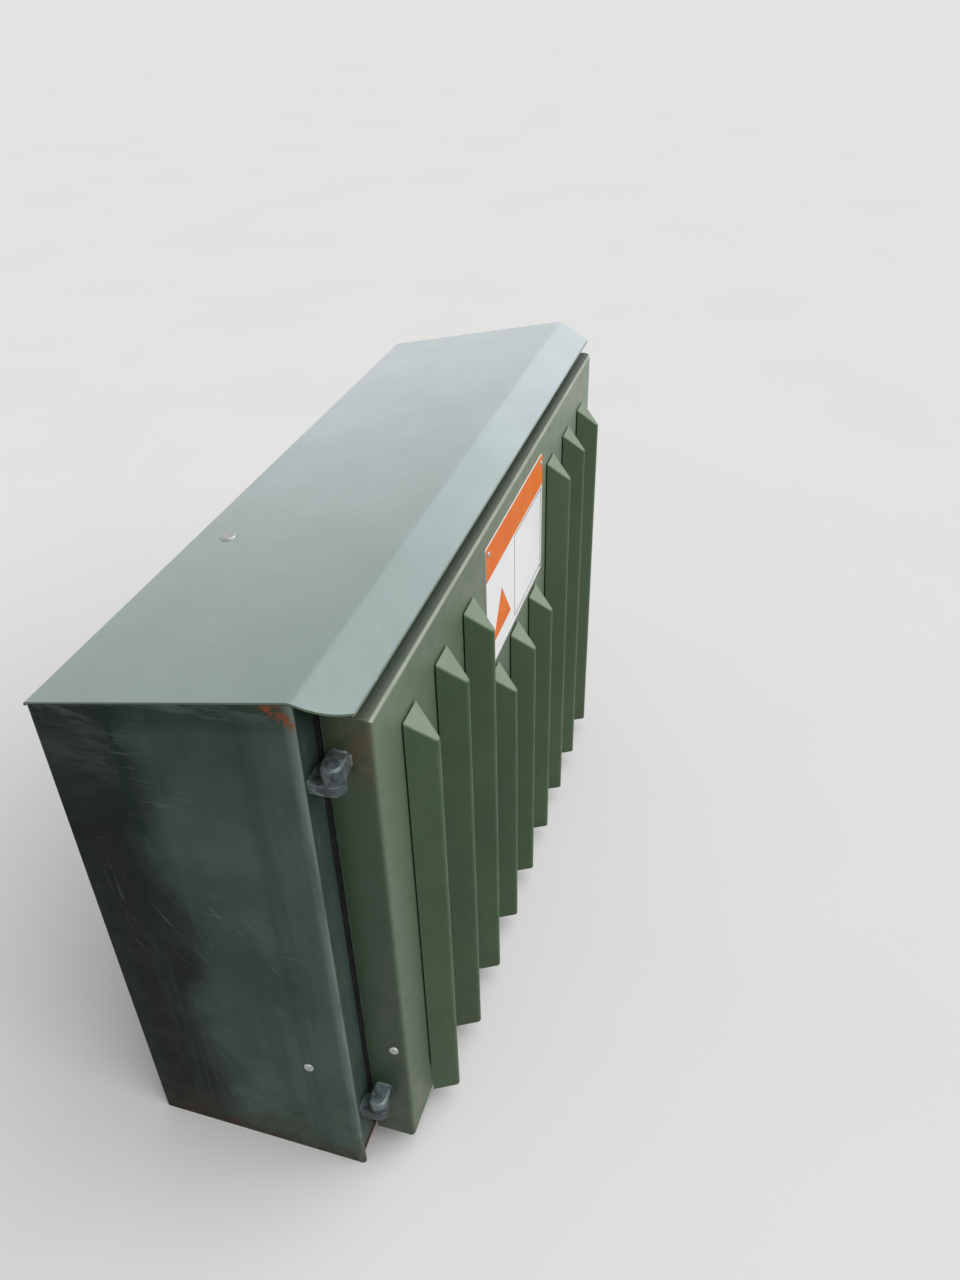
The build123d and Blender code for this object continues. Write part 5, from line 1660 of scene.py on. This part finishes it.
@dataclass
class MainSwitch(SubAssembly):
    """The main switch with its case screws and position marks."""

    screw_inset: float = 0.014
    screw_radius: float = 0.0042
    screw_height: float = 0.0028
    boss_height: float = 0.010
    mark_radius: float = 0.042
    mark_half: Point = (0.0018, 0.0006, 0.0060)
    mark_edge: float = 0.0003

    def build(self) -> list[str]:
        """Dresses the switch, screws its case and adds two raised marks.

        Returns:
            A line about each piece, for the log.
        """
        lines = self.dress(DARK_PLASTIC, "main_switch") + self.dress(RED_PLASTIC, "switch_handle")
        low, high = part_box("main_switch")
        front = low.y + self.boss_height
        screws, marks = Stock(), Stock()
        for x in (low.x + self.screw_inset, high.x - self.screw_inset):
            for z in (low.z + self.screw_inset, high.z - self.screw_inset):
                screws.screw(facing_front(x, front, z), self.screw_radius, self.screw_height)
        lines += self.add(screws, "switch_screws", BRIGHT, "cabinet", "bright_steel")
        x, z = (low.x + high.x) / 2, (low.z + high.z) / 2
        half = Vector(self.mark_half)
        for centre, size in (
            (Vector((x, front, z + self.mark_radius)), half),
            (Vector((x + self.mark_radius, front, z)), Vector((half.z, half.y, half.x))),
        ):
            marks.block(centre - size, centre + size, self.mark_edge)
        return lines + self.add(marks, "switch_marks", GREY_PLASTIC, "cabinet", "grey_plastic")


@dataclass
class Studio:
    """A pale floor under a plain sky, with one large soft lamp."""

    half_floor: float = 90.0
    floor_shown: Colour = (0.80, 0.80, 0.79, 1.0)
    floor_lighter: Colour = (0.82, 0.82, 0.81, 1.0)
    floor_bounce: Colour = (0.42, 0.42, 0.41, 1.0)
    sky_shown: float = 1.0
    sky_light: float = 0.45
    lamp_strength: float = 2.3
    lamp_spread: float = 1.3
    lamp_from: Point = (0.05, -0.60, 0.80)

    def direct_share(self, tree: bpy.types.NodeTree) -> Socket:
        """Tells what is seen directly from what only gives light.

        Args:
            tree: the tree that takes the nodes.

        Returns:
            An output that is 1 for the camera, a reflection and clear material, else 0.
        """
        path = tree.nodes.new("ShaderNodeLightPath")
        total = path.outputs["Is Camera Ray"]
        for name in ("Is Glossy Ray", "Is Transmission Ray"):
            item = tree.nodes.new("ShaderNodeMath")
            item.operation = "MAXIMUM"
            tree.links.new(total, item.inputs[0])
            tree.links.new(path.outputs[name], item.inputs[1])
            total = item.outputs[0]
        return total

    def build(self) -> list[str]:
        """Lays the floor, hangs the lamp and sets the sky.

        Returns:
            A line about each piece, for the log.
        """
        self.lay_floor()
        self.set_sky()
        lamp = bpy.data.lights.new("soft_lamp", "SUN")
        lamp.energy, lamp.angle = self.lamp_strength, self.lamp_spread
        holder = bpy.data.objects.new("soft_lamp", lamp)
        holder.rotation_euler = Vector(self.lamp_from).to_track_quat("Z", "Y").to_euler()
        bpy.context.scene.collection.objects.link(holder)
        bpy.context.scene.view_settings.view_transform = "Standard"
        return ["floor, sky and soft lamp"]

    def lay_floor(self) -> None:
        """Makes the plain pale floor, a little uneven in tone."""
        stock = Stock()
        half = self.half_floor
        corners = [Vector((x * half, y * half, 0.0)) for x, y in ((-1, -1), (1, -1), (1, 1), (-1, 1))]
        stock.mesh.faces.new([stock.mesh.verts.new(corner) for corner in corners])
        floor = stock.shaped("studio_floor")
        graph = FinishGraph("studio_floor")
        clouds = graph.share(graph.mottle(1.4, 3.0), 0.2, 0.8)
        tone = graph.mix(clouds, self.floor_shown, self.floor_lighter)
        colour = graph.mix(self.direct_share(graph.tree), self.floor_bounce, tone)
        floor.data.materials.append(graph.done(colour, roughness=0.9, specular=0.1))

    def set_sky(self) -> None:
        """Makes the sky white to look at and softer as a light."""
        world = bpy.data.worlds.new("studio_sky")
        world.use_nodes = True
        bpy.context.scene.world = world
        tree = world.node_tree
        tree.nodes.clear()
        sky, output = tree.nodes.new("ShaderNodeBackground"), tree.nodes.new("ShaderNodeOutputWorld")
        level = tree.nodes.new("ShaderNodeMapRange")
        tree.links.new(self.direct_share(tree), level.inputs[0])
        level.inputs["To Min"].default_value = self.sky_light
        level.inputs["To Max"].default_value = self.sky_shown
        tree.links.new(level.outputs[0], sky.inputs["Strength"])
        tree.links.new(sky.outputs[0], output.inputs["Surface"])


@dataclass
class HandHeldCamera:
    """The view down on the cabinet's hinged end and along its door."""

    place: Point = (-1.2236, -0.5105, 1.4325)
    heading: float = 0.3083
    dip: float = 0.6182
    roll: float = 0.0261
    lens: float = 29.008
    film: float = 36.0
    sight: float = 300.0

    def build(self) -> list[str]:
        """Sets the camera up and makes it the scene's own.

        Returns:
            A line about each piece, for the log.
        """
        ahead = Vector((math.cos(self.dip) * math.cos(self.heading),
                        math.cos(self.dip) * math.sin(self.heading), -math.sin(self.dip)))
        right = ahead.cross(Vector((0, 0, 1))).normalized()
        down = ahead.cross(right)
        across = right * math.cos(self.roll) + down * math.sin(self.roll)
        below = down * math.cos(self.roll) - right * math.sin(self.roll)
        turn = Matrix((across, -below, -ahead)).transposed().to_4x4()
        lens = bpy.data.cameras.new("hand_held_camera")
        lens.lens, lens.sensor_width, lens.sensor_fit = self.lens, self.film, "AUTO"
        lens.clip_end = self.sight
        camera = bpy.data.objects.new("hand_held_camera", lens)
        camera.matrix_world = Matrix.Translation(self.place) @ turn
        bpy.context.scene.collection.objects.link(camera)
        bpy.context.scene.camera = camera
        return ["hand-held camera"]


def main() -> None:
    """Builds and dresses every sub-assembly, then sets up the studio and the camera."""
    logging.basicConfig(level=logging.INFO, format="%(name)s: %(message)s")
    shop = FinishShop()
    assemblies = (BaseFrame, BodyShell, DoorSeal, DoorLeaf, VentHoods, LiftOffHinges, Placard,
                  QuarterTurnLock, GearBoard, BusbarSet, FuseSwitches, MainSwitch)
    for assembly in assemblies:
        for line in assembly(shop).build():
            log.info("%s: %s", assembly.__name__, line)
    for line in Studio().build() + HandHeldCamera().build():
        log.info(line)


if __name__ == "__main__":
    main()
